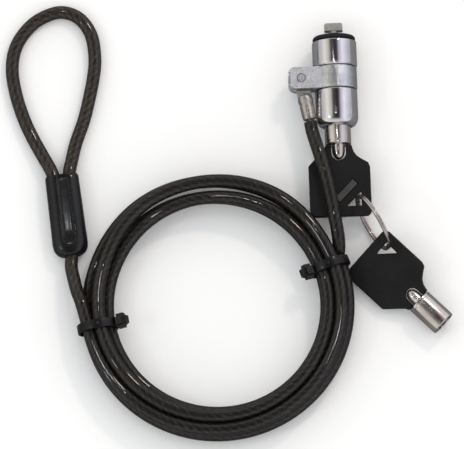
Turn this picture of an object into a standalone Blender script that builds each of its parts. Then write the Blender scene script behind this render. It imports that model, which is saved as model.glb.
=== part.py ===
"""Laptop cable lock: a tubular-key T-bar lock head on a swivel yoke, a coated
steel cable wound into a tied coil with a crimped eye loop, and two tubular
keys on a split ring.

It lies flat with z = 0 on the resting plane, +Z up.  The lock's nose points
to +Y, with key 1 in the barrel's other end, and the coil lies towards -Y.
Lengths are in millimetres and angles in degrees; objects are built in metres."""

import math

import bmesh
import bpy
from mathutils import Matrix, Vector

for old in list(bpy.data.objects):
    bpy.data.objects.remove(old, do_unlink=True)

MM = 0.001
ORIGIN_SHIFT = Vector((0.68, 0.293, 0.0))   # puts the origin under the middle of the whole object

# ---------------------------------------------------------------- dimensions
# coated cable
JACKET_R = 2.35
JACKET_BORE_R = 1.90
ROPE_R = 1.40

# coil: five passes twisted around one circular bundle axis
COIL_CENTRE = Vector((-5.0, -31.9, 7.60))
COIL_R = 43.2
BUNDLE_R = 4.10                      # strand centre to bundle axis
COIL_START = 190.0                   # at the left tie
COIL_SWEEP = 4 * 360.0 + 189.0       # from the left tie to the right tie
COIL_STEP = 11.4
COIL_RUN_OUT = 3.5                   # carries the coil on past the right tie
STRAND_PHASE = 31.0                  # place of the strand in the bundle at the left tie
STRAND_TWIST = 72.0 / 360.0          # turn in the bundle per degree round the coil
# (start, end) angles round the coil over which each change grows and fades
SPREAD_GROWS, SPREAD_FADES = (22, 70), (118, 168)
SPREAD_BY_TURN = (-27.0, -9.0, 9.0, 27.0, 0.0)
TALL_GROWS, TALL_FADES = (18, 36), (60, 100)
TALL_EXTRA = 0.17

# cable ties
LEFT_TIE_ANGLE, RIGHT_TIE_ANGLE = 190.2, 19.9
TIE_BORE_R = BUNDLE_R + JACKET_R + 0.27
TIE_THICK, TIE_W = 0.8, 3.2
TIE_HEAD_LEN, TIE_HEAD_RAISE = 5.0, 25.0

# lock head, measured back from its nose plane along the barrel
NOSE = (37.2, 67.5, 8.1)
HEAD_LEAN = 2.28                     # anticlockwise seen from above
GAP = 0.3                            # between neighbouring parts along the barrel
UPPER_R, YOKE_RING_R, LOWER_R = 8.0, 7.75, 7.6
BUMPER_LEN = 1.7
UPPER_START, UPPER_END = BUMPER_LEN + GAP, 11.6
YOKE_START, YOKE_END = UPPER_END + GAP, 19.9
LOWER_START, DOME_START, HEAD_END = YOKE_END + GAP, 29.8, 33.5
STATOR_START, STATOR_END = 6.5, 19.9
PLUG_START, PLUG_END = STATOR_END + GAP, 27.0
CORE_R = 5.0                         # stator and wide part of the plug

# yoke, clevis pin and end ferrule
YOKE_BORE_R = 6.15
CLEVIS_X, CLEVIS_BACK, CLEVIS_Z = -12.4, 16.0, 1.8   # pin centre in the lock frame
ARM_HALF_W, ARM_HALF_H = 3.95, 3.9
FERRULE_TURN = 12.0                  # from straight back, towards the barrel

# ring of lock pins: seven of eight equal places, the top one left free
PIN_COUNT = 7
PIN_PITCH_R, PIN_R, PIN_BORE_R = 4.15, 0.56, 0.68
KEY_PIN_EXTRA = (0.0, 0.35, 0.15, 0.5, 0.25, 0.4, 0.1)   # added length of each point
SPRING_TURNS, SPRING_STEPS = 4, 6    # turns, steps in each turn
SPRING_START, SPRING_END = 8.35, 15.05
SPRING_R, SPRING_WIRE_R = 0.46, 0.12

# T-bar clip
CLIP_R, CLIP_BORE_R, CLIP_THICK = 3.1, 1.7, 0.55
CLIP_BACK = 3.8                      # its middle, back from the nose plane

# keys
KEY_TUBE_R, KEY_BORE_R, KEY_TUBE_LEN = 4.7, 3.9, 12.2
KEY_CUT_DEPTHS = (0.5, 1.1, 0.7, 1.3, 0.9, 1.2, 0.6)
KEY_CUT_HALF_W = 0.75
BOW_W, BOW_LEN, BOW_THICK = 22.2, 26.4, 2.4
TANG_CUT_R, TANG_CUT_BACK = 2.6, 3.05
HOLE_X, HOLE_BACK, HOLE_LEG = 7.6, 22.8, 5.6         # square corner and legs of the hole
KEY_1_BACK = 40.1                    # bow/tube junction from the nose plane
KEY_2_HEADING = (0.731, -0.682)      # plan direction of its tip
KEY_2_ROLL, KEY_2_PITCH = 19.0, 2.4

# split ring
KEYRING_R, KEYRING_W, KEYRING_THICK = 10.6, 1.2, 1.5
KEYRING_Z = 11.6
KEYRING_LEAN = 7.0
KEYRING_SWEEP, KEYRING_STEP, KEYRING_START = 700.0, 10.0, 40.0
SEAT_INSET_1, SEAT_INSET_2 = 1.55, 1.50   # wire centre from the two edges of each key's hole
SEAT_2_Z = 8.6

# loop sleeve: origin at its mouth, -Y runs down its length
SLEEVE_MOUTH = (-60.8, 17.0, 4.2)
SLEEVE_TURN = 7.2
SLEEVE_SIDES = 20


# ---------------------------------------------------------------- placing and adding
def moved(x, y, z):
    return Matrix.Translation((x, y, z))


def rotated(degrees, axis):
    return Matrix.Rotation(math.radians(degrees), 4, axis)


UPRIGHT = rotated(90, 'X')           # stands a part turned about Y along Z


def frame_of(x_axis, y_axis, z_axis):
    return Matrix((x_axis, y_axis, z_axis)).transposed().to_4x4()


def material(name, rgb, roughness, metallic=0.0):
    mat = bpy.data.materials.new(name)
    mat.use_nodes = True
    shader = mat.node_tree.nodes["Principled BSDF"]
    shader.inputs["Base Color"].default_value = (*rgb, 1.0)
    shader.inputs["Roughness"].default_value = roughness
    shader.inputs["Metallic"].default_value = metallic
    return mat


def add(name, solid, mat, place=Matrix.Identity(4), sharp=35.0):
    """Turn a bmesh in millimetres into an object; sharp=None leaves it flat shaded."""
    bmesh.ops.recalc_face_normals(solid, faces=solid.faces)
    solid.transform(Matrix.Scale(MM, 4))
    mesh = bpy.data.meshes.new(name)
    solid.to_mesh(mesh)
    solid.free()
    mesh.materials.append(mat)
    if sharp is not None:
        mesh.shade_smooth()
        mesh.set_sharp_from_angle(angle=math.radians(sharp))
    obj = bpy.data.objects.new(name, mesh)
    bpy.context.scene.collection.objects.link(obj)
    world = place.copy()
    world.translation = (place.translation + ORIGIN_SHIFT) * MM
    obj.matrix_world = world
    return obj


def combine(target, operation, name, solid, place):
    """Add a hidden helper and a boolean on the target that uses it."""
    helper = add(name, solid, CUTTER, place, sharp=None)
    helper.hide_render = True
    helper.display_type = 'WIRE'
    mod = target.modifiers.new(operation.lower() + "_" + name, 'BOOLEAN')
    mod.operation = operation
    mod.solver = 'EXACT'
    mod.object = helper


def cut(target, name, solid, place):
    combine(target, 'DIFFERENCE', name, solid, place)


def join(target, name, solid, place):
    combine(target, 'UNION', name, solid, place)


# ---------------------------------------------------------------- shapes
def circle_angles(count, start=0.0):
    return [start + 2 * math.pi * k / count for k in range(count)]


def skin(solid, rings, closed=False):
    """Quads between successive rings of vertices; closed joins the last to the first."""
    following = rings[1:] + (rings[:1] if closed else [])
    for ring, after in zip(rings, following):
        for k in range(len(ring)):
            j = (k + 1) % len(ring)
            solid.faces.new((ring[k], ring[j], after[j], after[k]))


def lathe(profile, sides, start=0.0):
    """Closed profile of (radius, y) turned about the local Y axis."""
    solid = bmesh.new()
    rings = []
    for radius, y in profile:
        if radius < 1e-6:
            rings.append([solid.verts.new((0, y, 0))])
        else:
            rings.append([solid.verts.new((radius * math.cos(angle), y, radius * math.sin(angle)))
                          for angle in circle_angles(sides, start)])
    for ring, after in zip(rings, rings[1:] + rings[:1]):
        if len(ring) == 1 and len(after) == 1:
            continue
        for k in range(sides):
            j = (k + 1) % sides
            if len(ring) == 1:
                solid.faces.new((ring[0], after[k], after[j]))
            elif len(after) == 1:
                solid.faces.new((ring[k], after[0], ring[j]))
            else:
                solid.faces.new((ring[k], after[k], after[j], ring[j]))
    return solid


def rod(radius, y_start, y_end, sides, start=0.0):
    return lathe([(0, y_start), (radius, y_start), (radius, y_end), (0, y_end)], sides, start)


def prism(outline, z_low, z_high):
    """Plan outline of (x, y) points raised between two heights."""
    solid = bmesh.new()
    low = [solid.verts.new((x, y, z_low)) for x, y in outline]
    high = [solid.verts.new((x, y, z_high)) for x, y in outline]
    solid.faces.new(low)
    solid.faces.new(high)
    skin(solid, [low, high])
    return solid


def box(x_low, x_high, y_low, y_high, z_low, z_high):
    return prism([(x_low, y_low), (x_high, y_low), (x_high, y_high), (x_low, y_high)],
                 z_low, z_high)


def rounded(corners, steps):
    """Closed outline from (x, y, corner radius) rows; radius 0 keeps a corner square."""
    outline = []
    for i, (x, y, radius) in enumerate(corners):
        if radius <= 0:
            outline.append((x, y))
            continue
        corner = Vector((x, y))
        to_last = (Vector(corners[i - 1][:2]) - corner).normalized()
        to_next = (Vector(corners[(i + 1) % len(corners)][:2]) - corner).normalized()
        half_angle = to_last.angle(to_next) / 2
        reach = radius / math.tan(half_angle)
        centre = corner + (to_last + to_next).normalized() * (radius / math.sin(half_angle))
        arc_start = corner + to_last * reach - centre
        arc_end = corner + to_next * reach - centre
        first = math.atan2(arc_start.y, arc_start.x)
        turn = math.remainder(math.atan2(arc_end.y, arc_end.x) - first, math.tau)
        for k in range(steps + 1):
            angle = first + turn * k / steps
            outline.append((centre.x + radius * math.cos(angle),
                            centre.y + radius * math.sin(angle)))
    return outline


def smoothstep(start, end, value):
    share = min(1.0, max(0.0, (value - start) / (end - start)))
    return share * share * (3 - 2 * share)


def catmull(before, start, end, after, share):
    """Catmull-Rom point a share of the way from start to end."""
    return 0.5 * (2 * start + (end - before) * share
                  + (2 * before - 5 * start + 4 * end - after) * share ** 2
                  + (3 * start - before - 3 * end + after) * share ** 3)


def frames(path):
    """Parallel-transported side and up vectors along a path."""
    last = len(path) - 1
    tangents = [(path[min(i + 1, last)] - path[max(i - 1, 0)]).normalized()
                for i in range(len(path))]
    side = tangents[0].cross(Vector((0, 0, 1))).normalized()
    pairs = []
    for tangent in tangents:
        side = (side - tangent * side.dot(tangent)).normalized()
        pairs.append((side, -tangent.cross(side).normalized()))
    return pairs


def sweep(path, path_frames, radius, sides, bore_radius=0.0):
    """Rod along a path, or a tube whose bore has half as many sides as its outside."""
    solid = bmesh.new()

    def tube_rings(ring_radius, count):
        rings = [[solid.verts.new(point + (side * math.cos(angle) + up * math.sin(angle))
                                  * ring_radius) for angle in circle_angles(count)]
                 for point, (side, up) in zip(path, path_frames)]
        skin(solid, rings)
        return rings

    outside = tube_rings(radius, sides)
    if bore_radius == 0:
        solid.faces.new(outside[0])
        solid.faces.new(outside[-1])
        return solid
    bore_sides = sides // 2
    bore = tube_rings(bore_radius, bore_sides)
    for end in (0, -1):
        rim, mouth = outside[end], bore[end]
        for k in range(bore_sides):
            j = (k + 1) % bore_sides
            solid.faces.new((mouth[k], rim[2 * k], rim[2 * k + 1], mouth[j]))
            solid.faces.new((mouth[j], rim[2 * k + 1], rim[(2 * k + 2) % sides]))
    return solid


def oval(half_w, half_h, power):
    """Superellipse points; power 2 is an ellipse and more is squarer."""
    points = []
    for angle in circle_angles(SLEEVE_SIDES):
        cos, sin = math.cos(angle), math.sin(angle)
        points.append((half_w * math.copysign(abs(cos) ** (2 / power), cos),
                       half_h * math.copysign(abs(sin) ** (2 / power), sin)))
    return points


def loft(stations, centre_x=0.0):
    """Tube wall through (distance along -Y, half width, half height, power) stations;
    the last station joins back to the first."""
    solid = bmesh.new()
    rings = [[solid.verts.new((centre_x + x, -distance, z))
              for x, z in oval(half_w, half_h, power)]
             for distance, half_w, half_h, power in stations]
    skin(solid, rings, closed=True)
    return solid


# ---------------------------------------------------------------- materials
CUTTER = material("cutter", rgb=(0.5, 0.5, 0.5), roughness=0.5)
JACKET_PVC = material("jacket_pvc", rgb=(0.030, 0.027, 0.024), roughness=0.25)
SLEEVE_PVC = material("sleeve_pvc", rgb=(0.014, 0.015, 0.018), roughness=0.33)
TIE_NYLON = material("tie_nylon", rgb=(0.012, 0.012, 0.013), roughness=0.45)
RUBBER = material("bumper_rubber", rgb=(0.012, 0.012, 0.016), roughness=0.55)
BOW_ABS = material("bow_abs", rgb=(0.020, 0.021, 0.024), roughness=0.55)
BOW_INLAY = material("bow_inlay", rgb=(0.13, 0.125, 0.105), roughness=0.60)
ROPE_STEEL = material("rope_steel", rgb=(0.22, 0.20, 0.17), roughness=0.40, metallic=1.0)
CHROME = material("chrome", rgb=(0.62, 0.61, 0.64), roughness=0.08, metallic=1.0)
NICKEL = material("nickel", rgb=(0.58, 0.53, 0.50), roughness=0.22, metallic=1.0)
PIN_STEEL = material("pin_steel", rgb=(0.45, 0.45, 0.46), roughness=0.30, metallic=1.0)
TBAR_STEEL = material("tbar_steel", rgb=(0.24, 0.23, 0.20), roughness=0.45, metallic=1.0)
BRASS = material("brass", rgb=(0.62, 0.47, 0.20), roughness=0.30, metallic=1.0)
RING_NICKEL = material("ring_nickel", rgb=(0.60, 0.56, 0.53), roughness=0.16, metallic=1.0)
CRIMP_ALU = material("crimp_alu", rgb=(0.66, 0.66, 0.67), roughness=0.40, metallic=1.0)

# ---------------------------------------------------------------- local frames
LOCK = moved(*NOSE) @ rotated(HEAD_LEAN, 'Z')
CLEVIS = LOCK @ moved(CLEVIS_X, -CLEVIS_BACK, CLEVIS_Z)
FERRULE = moved(*CLEVIS.translation) @ rotated(FERRULE_TURN, 'Z')
SLEEVE = moved(*SLEEVE_MOUTH) @ rotated(SLEEVE_TURN, 'Z')
KEY_1 = LOCK @ moved(0, -KEY_1_BACK, 0)


def seat_in_bow(inset):
    """Ring wire centre in a key's frame."""
    return Vector((HOLE_X - inset, -(HOLE_BACK - inset), 0))


# ring plane: through key 1's hole, running towards +X and -Y to key 2's hole
RING_DIR = Vector((0.516, -0.857, 0)).normalized()
RING_LEAN = math.radians(KEYRING_LEAN)
RING_UP = (Vector((0, 0, 1)) * math.cos(RING_LEAN)
           + Vector((-RING_DIR.y, RING_DIR.x, 0)) * math.sin(RING_LEAN)).normalized()


def ring_offset(height):
    """Distances along RING_DIR and down RING_UP from the ring's centre to its wire."""
    drop = (KEYRING_Z - height) / math.cos(RING_LEAN)
    return math.sqrt(KEYRING_R ** 2 - drop ** 2), drop


def ring_frame():
    seat = KEY_1 @ seat_in_bow(SEAT_INSET_1)
    reach, drop = ring_offset(seat.z)
    frame = frame_of(RING_DIR, RING_UP, RING_DIR.cross(RING_UP).normalized())
    frame.translation = seat + RING_DIR * reach + RING_UP * drop
    return frame


def key_2_frame():
    """Key 2 lies reverse side up, rolled so that its hole stands up to the ring."""
    pitch, roll = math.radians(KEY_2_PITCH), math.radians(KEY_2_ROLL)
    head_x, head_y = KEY_2_HEADING
    y_axis = Vector((head_x * math.cos(pitch), head_y * math.cos(pitch),
                     -math.sin(pitch))).normalized()
    level = Vector((-head_y, head_x, 0)).normalized()
    level = (level - y_axis * level.dot(y_axis)).normalized()
    upward = y_axis.cross(level).normalized()
    x_axis = (level * math.cos(roll) + upward * math.sin(roll)).normalized()
    frame = frame_of(x_axis, y_axis, x_axis.cross(y_axis).normalized())
    reach, drop = ring_offset(SEAT_2_Z)
    seat = KEYRING.translation + RING_DIR * reach - RING_UP * drop
    return moved(*(seat - frame @ seat_in_bow(SEAT_INSET_2))) @ frame


KEYRING = ring_frame()
KEY_2 = key_2_frame()

# ---------------------------------------------------------------- cable
# dead end inside the sleeve: (offset across, distance from the mouth)
DEAD_END = [(2.5, 16.0), (2.5, 11.0), (2.5, 6.0), (2.85, 2.2)]
# eye loop, from the dead end round to the standing leg: (x, y, z)
LOOP = [
    (-58.0, 18.2, 4.0), (-57.4, 21.8, 3.3), (-55.6, 29.7, 2.5), (-52.9, 37.7, 2.3),
    (-51.0, 45.6, 2.3), (-49.5, 53.5, 2.3), (-48.9, 60.9, 2.3), (-50.3, 69.6, 2.3),
    (-54.8, 75.9, 2.3), (-61.6, 78.0, 2.3), (-69.2, 75.2, 2.3), (-74.6, 70.0, 2.3),
    (-77.8, 63.8, 2.3), (-78.7, 56.2, 2.3), (-77.3, 47.5, 2.3), (-74.7, 39.2, 2.3),
    (-71.7, 32.3, 2.4), (-68.0, 25.3, 2.9), (-64.6, 19.0, 3.8),
]
# standing leg inside the sleeve: distances from the mouth
STANDING = (2.0, 6.0, 11.0, 15.0, 18.0, 21.0, 25.0, 29.5)
# from the sleeve's outlet to the left tie: (x, y, z)
LEAD = [(-57.2, -16.8, 4.9), (-56.3, -21.5, 6.4), (-55.1, -26.5, 8.1), (-53.4, -31.4, 9.35)]
# from the right tie over the key bow to the end ferrule: (x, y, z)
TAIL = [
    (38.9, -11.5, 8.7), (38.9, -8.4, 10.3), (38.4, -4.8, 11.6), (37.5, 0.0, 11.95),
    (36.6, 5.0, 11.95), (34.5, 14.8, 11.95), (32.4, 22.0, 11.9), (31.1, 26.4, 11.3),
]
# into the end ferrule: distances from the clevis pin; the jacket stops at the second
FERRULE_ENTRY = (19.6, 15.7, 12.0, 8.4)
MAX_SPAN = 5.5                       # longest piece of cable outside the coil


def in_sleeve(offset, distance):
    return SLEEVE @ Vector((offset, -distance, 0))


def standing_offset(distance):
    """The standing leg moves from one side of the sleeve to its middle."""
    return -2.9 + 1.0 * smoothstep(0, 6, distance) + 1.9 * smoothstep(13, 23, distance)


def coil_point(travel):
    """Centre of the strand, travel degrees round from the left tie."""
    theta = COIL_START + travel
    around = theta % 360.0
    # on the +Y side only four passes share the bundle, so they spread out
    spread = smoothstep(*SPREAD_GROWS, around) * (1 - smoothstep(*SPREAD_FADES, around))
    turn = int((theta - 180.0) // 360.0)
    twist = math.radians(STRAND_PHASE + STRAND_TWIST * travel + spread * SPREAD_BY_TURN[turn])
    # the bundle stands taller where the key bow reaches into it
    tall = 1.0 + (TALL_EXTRA * smoothstep(*TALL_GROWS, around)
                  * (1 - smoothstep(*TALL_FADES, around)))
    radius = COIL_R + BUNDLE_R * math.cos(twist)
    return COIL_CENTRE + Vector((radius * math.cos(math.radians(theta)),
                                 radius * math.sin(math.radians(theta)),
                                 BUNDLE_R * tall * math.sin(twist)))


def cable_path():
    """Points of the cable's centre line, and where the jacket starts and ends in them."""
    control = [in_sleeve(*row) for row in DEAD_END]
    jacket_first = len(control) - 1
    control += [Vector(point) for point in LOOP]
    control += [in_sleeve(standing_offset(distance), distance) for distance in STANDING]
    control += [Vector(point) for point in LEAD]
    coil_first = len(control)
    steps = int(round(COIL_SWEEP / COIL_STEP))
    control += [coil_point(COIL_SWEEP * i / steps) for i in range(steps + 1)]
    coil_last = len(control) - 1
    control.append(coil_point(COIL_SWEEP + COIL_RUN_OUT))
    control += [Vector(point) for point in TAIL]
    jacket_last = len(control) + 1
    control += [FERRULE @ Vector((0, -distance, 0)) for distance in FERRULE_ENTRY]

    path = []
    path_index = []                  # where each control point falls in the path
    last = len(control) - 1
    for i in range(last):
        start, end = control[i], control[i + 1]
        path_index.append(len(path))
        path.append(start)
        if coil_first <= i < coil_last:
            continue                 # coil points are already close enough
        before, after = control[max(i - 1, 0)], control[min(i + 2, last)]
        pieces = max(1, int(math.ceil((end - start).length / MAX_SPAN)))
        path += [catmull(before, start, end, after, k / pieces) for k in range(1, pieces)]
    path.append(control[-1])
    return path, path_index[jacket_first], path_index[jacket_last]


def build_cable():
    path, first, last = cable_path()
    path_frames = frames(path)
    covered = slice(first, last + 1)
    jacket = sweep(path[covered], path_frames[covered], JACKET_R, 8, JACKET_BORE_R)
    add("cable_jacket", jacket, JACKET_PVC, sharp=60)
    add("wire_rope", sweep(path, path_frames, ROPE_R, 4), ROPE_STEEL, sharp=80)


# ---------------------------------------------------------------- loop sleeve and crimp
# rows of (distance from the mouth, half width, half height, power)
SLEEVE_OUTSIDE = [
    (0.0, 5.80, 3.6, 2.6), (1.2, 6.05, 4.0, 2.6), (14.0, 6.15, 4.1, 2.6), (24.5, 6.4, 4.1, 2.6),
    (27.6, 5.7, 3.95, 2.4), (29.3, 4.2, 3.5, 2.1), (30.0, 3.1, 3.0, 2.0),
]
SLEEVE_BORE = [
    (30.0, 2.6, 2.6, 2.0), (25.5, 2.9, 2.7, 2.0), (18.0, 5.45, 2.95, 2.6), (0.0, 5.60, 2.95, 2.6),
]
CRIMP = [(6.6, 5.1, 2.82, 2.8), (14.4, 5.1, 2.82, 2.8), (14.4, 4.6, 2.55, 2.8), (6.6, 4.6, 2.55, 2.8)]
CRIMP_X = 0.10


def build_loop_sleeve():
    add("loop_sleeve", loft(SLEEVE_OUTSIDE + SLEEVE_BORE), SLEEVE_PVC, SLEEVE)
    add("loop_crimp_ferrule", loft(CRIMP, CRIMP_X), CRIMP_ALU, SLEEVE)


# ---------------------------------------------------------------- cable ties
def tie_strap():
    sides = 28
    outer_r = TIE_BORE_R + TIE_THICK
    half_w = TIE_W / 2
    section = ((TIE_BORE_R, -half_w), (outer_r, -half_w), (outer_r, half_w), (TIE_BORE_R, half_w))
    solid = bmesh.new()
    rings = [[solid.verts.new((radius * math.cos(angle), y, radius * math.sin(angle)))
              for radius, y in section] for angle in circle_angles(sides, math.pi / sides)]
    skin(solid, rings, closed=True)
    return solid


def build_cable_tie(name, theta):
    """Strap round the bundle; its head stands up from the coil's inner side."""
    place = moved(*COIL_CENTRE) @ rotated(theta, 'Z') @ moved(COIL_R, 0, 0)
    strap = add(name, tie_strap(), TIE_NYLON, place)
    raised = place @ rotated(TIE_HEAD_RAISE, 'Y')
    head_x = -(TIE_BORE_R + 0.15)    # head face against the strap
    head = box(head_x - TIE_HEAD_LEN, head_x, -2.65, 2.65, -2.4, 2.4)
    bmesh.ops.bevel(head, geom=list(head.edges), offset=0.55, segments=2, affect='EDGES')
    join(strap, name + "_head_add", head, raised)
    slot = box(head_x - 3.4, head_x - 1.9, -1.75, 1.75, 0.9, 4.0)
    cut(strap, name + "_slot_cut", slot, raised)


# ---------------------------------------------------------------- end ferrule
def build_end_ferrule():
    """Flat eyed tongue on the clevis pin, joined to a turned socket for the rope."""
    tongue = rounded([(-2.5, 2.5, 2.45), (-2.5, -6.4, 0), (2.5, -6.4, 0), (2.5, 2.5, 2.45)], 5)
    ferrule = add("end_ferrule", prism(tongue, -1.3, 1.3), NICKEL, FERRULE)
    socket = lathe([
        (0, -5.9), (1.9, -5.9), (2.55, -6.5), (2.72, -7.4), (2.68, -8.6), (2.5, -9.0),
        (2.5, -9.5), (2.6, -9.9), (2.4, -14.6), (2.25, -14.9), (1.7, -14.9), (1.7, -7.9), (0, -7.9),
    ], 20)
    join(ferrule, "end_ferrule_body_add", socket, FERRULE)
    cut(ferrule, "end_ferrule_eye_cut", rod(1.65, 3, -3, 20), FERRULE @ UPRIGHT)


# ---------------------------------------------------------------- swivel yoke and clevis pin
def build_yoke():
    """Ring round the barrel with a slotted arm on its -X side."""
    chamfer = 0.25
    ring = lathe([
        (YOKE_RING_R - chamfer, -YOKE_START), (YOKE_RING_R, -YOKE_START - chamfer),
        (YOKE_RING_R, -YOKE_END + chamfer), (YOKE_RING_R - chamfer, -YOKE_END),
        (YOKE_BORE_R, -YOKE_END), (YOKE_BORE_R, -YOKE_START),
    ], 40)
    yoke = add("swivel_yoke", ring, CHROME, LOCK)
    arm_y = -(YOKE_START + YOKE_END) / 2
    arm_low, arm_high = arm_y - ARM_HALF_W, arm_y + ARM_HALF_W
    root_x, end_x = -4.3, CLEVIS_X - 4.7
    arm = rounded([(root_x, arm_low, 0), (root_x, arm_high, 0),
                   (end_x, arm_high, 2.5), (end_x, arm_low, 2.5)], 4)
    join(yoke, "yoke_arm_add", prism(arm, CLEVIS_Z - ARM_HALF_H, CLEVIS_Z + ARM_HALF_H), LOCK)
    slot = box(CLEVIS_X - 8, -8.75, arm_y - 6, arm_y + 6, CLEVIS_Z - 1.6, CLEVIS_Z + 1.6)
    cut(yoke, "yoke_slot_cut", slot, LOCK)
    # notch in the end of the arm's upper cheek
    notch = box(CLEVIS_X - 6, CLEVIS_X - 3.85, arm_y - 2.2, arm_y + 2.2,
                CLEVIS_Z + 1.0, CLEVIS_Z + 6)
    cut(yoke, "yoke_notch_cut", notch, LOCK)
    cut(yoke, "yoke_pin_cut", rod(1.62, 6, -6, 20), CLEVIS @ UPRIGHT)
    # clears the arm's root out of the ring's bore
    cut(yoke, "yoke_bore_cut", rod(YOKE_BORE_R, -YOKE_START + 2, -YOKE_END - 2, 40), LOCK)


def build_clevis_pin():
    pin = lathe([(0, -4.0), (1.15, -4.0), (1.35, -3.8), (1.35, 3.8), (1.15, 4.05), (0, 4.05)], 16)
    add("clevis_pin", pin, PIN_STEEL, CLEVIS @ UPRIGHT)


# ---------------------------------------------------------------- lock head
def build_nose_bumper():
    add("nose_bumper", lathe([
        (2.5, 0), (6.6, 0), (7.5, -0.5), (7.7, -1.1), (7.7, -BUMPER_LEN), (2.5, -BUMPER_LEN),
    ], 32), RUBBER, LOCK)


def build_upper_shell():
    add("upper_shell", lathe([
        (2.45, -UPPER_START), (7.75, -UPPER_START), (UPPER_R, -2.3), (UPPER_R, -11.3),
        (UPPER_R - 0.3, -UPPER_END), (7.0, -UPPER_END), (7.0, -3.2), (2.45, -3.2),
    ], 32), CHROME, LOCK)


def build_lower_shell():
    """Sleeve with a domed end round the keyway."""
    profile = [(LOWER_R - 0.25, -LOWER_START), (LOWER_R, -LOWER_START - 0.25)]
    dome_width, dome_depth, dome_angle, dome_steps = 2.3, 3.55, 78, 5
    for k in range(dome_steps + 1):
        angle = k / dome_steps * math.radians(dome_angle)
        profile.append((LOWER_R - dome_width * (1 - math.cos(angle)),
                        -DOME_START - dome_depth * math.sin(angle)))
    profile += [(5.4, -HEAD_END), (5.0, -HEAD_END), (5.0, -30.0), (6.2, -30.0),
                (6.2, -LOWER_START)]
    add("lower_shell", lathe(profile, 32), CHROME, LOCK)


def build_cylinder_body():
    """Flange inside the upper shell and a neck through the yoke ring."""
    add("cylinder_body", lathe([
        (2.0, -4.4), (6.75, -4.4), (6.75, -11.5), (5.9, -11.5),
        (5.9, -29.6), (5.2, -29.6), (5.2, -6.2), (2.0, -6.2),
    ], 32), BRASS, LOCK)


def pin_angle(k):
    return 90 + 45 * (k + 1)


def pin_frame(k):
    angle = math.radians(pin_angle(k))
    return LOCK @ moved(PIN_PITCH_R * math.cos(angle), 0, PIN_PITCH_R * math.sin(angle))


def add_bored(name, profile, bore_start, bore_end):
    """Turned brass part with the ring of axial pin bores cut into it."""
    part = add(name, lathe(profile, 32), BRASS, LOCK)
    for k in range(PIN_COUNT):
        bore = rod(PIN_BORE_R, -bore_start, -bore_end, 10, math.radians(13))
        cut(part, f"{name}_bore_{k + 1}_cut", bore, pin_frame(k))


def build_stator_and_plug():
    add_bored("pin_stator", [
        (1.75, -STATOR_START), (CORE_R, -STATOR_START), (CORE_R, -STATOR_END), (1.75, -STATOR_END),
    ], 8.0, STATOR_END + 1)
    add_bored("lock_plug", [
        (0, -2.6), (1.0, -2.6), (1.0, -5.2), (1.5, -5.2), (1.5, -PLUG_START),
        (CORE_R, -PLUG_START), (CORE_R, -PLUG_END), (3.2, -PLUG_END),
        (3.2, -31.5), (2.9, -31.9), (0, -31.9),
    ], PLUG_START - 0.5, PLUG_END + 0.5)


def build_pin_stack(k):
    """Key pin, driver pin and spring in one bore."""
    place = pin_frame(k)
    point_y = -27.2 - KEY_PIN_EXTRA[k]
    add(f"key_pin_{k + 1}", lathe([
        (0, -20.4), (PIN_R, -20.4), (PIN_R, -27.0), (PIN_R - 0.2, point_y), (0, point_y),
    ], 10), PIN_STEEL, place)
    add(f"driver_pin_{k + 1}", lathe([
        (0, -15.4), (PIN_R - 0.15, -15.4), (PIN_R, -15.6), (PIN_R, -19.8), (0, -19.8),
    ], 10), PIN_STEEL, place)
    steps = SPRING_TURNS * SPRING_STEPS
    helix = []
    for i in range(steps + 1):
        angle = i / SPRING_STEPS * 2 * math.pi
        depth = SPRING_START + (SPRING_END - SPRING_START) * i / steps
        helix.append(Vector((SPRING_R * math.cos(angle), -depth, SPRING_R * math.sin(angle))))
    spring = sweep(helix, frames(helix), SPRING_WIRE_R, 3)
    add(f"pin_spring_{k + 1}", spring, PIN_STEEL, place, sharp=80)


# ---------------------------------------------------------------- T-bar and its clip
def build_t_bar():
    tip_y = 4.7
    bar = box(-3.3, 3.3, 1.9, tip_y, -1.6, 1.6)
    tip_edges = [edge for edge in bar.edges
                 if any(abs(vert.co.y - tip_y) < 1e-6 for vert in edge.verts)]
    bmesh.ops.bevel(bar, geom=tip_edges, offset=0.6, segments=2, affect='EDGES')
    t_bar = add("t_bar", bar, TBAR_STEEL, LOCK)
    # stem with a groove for the clip and a socket for the plug's nose
    stem = lathe([
        (0, 2.4), (1.5, 2.4), (1.5, 1.4), (2.1, 0.9), (2.1, -3.42), (1.6, -3.42),
        (1.6, -4.18), (1.8, -4.18), (1.8, -4.9), (1.3, -4.9), (1.3, -2.3), (0, -2.3),
    ], 20)
    join(t_bar, "t_bar_stem_add", stem, LOCK)


def build_retaining_clip():
    """Flat C across the barrel axis, open towards +X."""
    arc = [math.radians(35 + 290 * k / 24) for k in range(25)]
    outline = [(CLIP_R * math.cos(angle), CLIP_R * math.sin(angle)) for angle in arc]
    outline += [(CLIP_BORE_R * math.cos(angle), CLIP_BORE_R * math.sin(angle))
                for angle in reversed(arc)]
    add("retaining_clip", prism(outline, 0.0, CLIP_THICK), PIN_STEEL,
        LOCK @ moved(0, -CLIP_BACK, 0) @ rotated(-90, 'X') @ moved(0, 0, -CLIP_THICK / 2))


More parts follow.
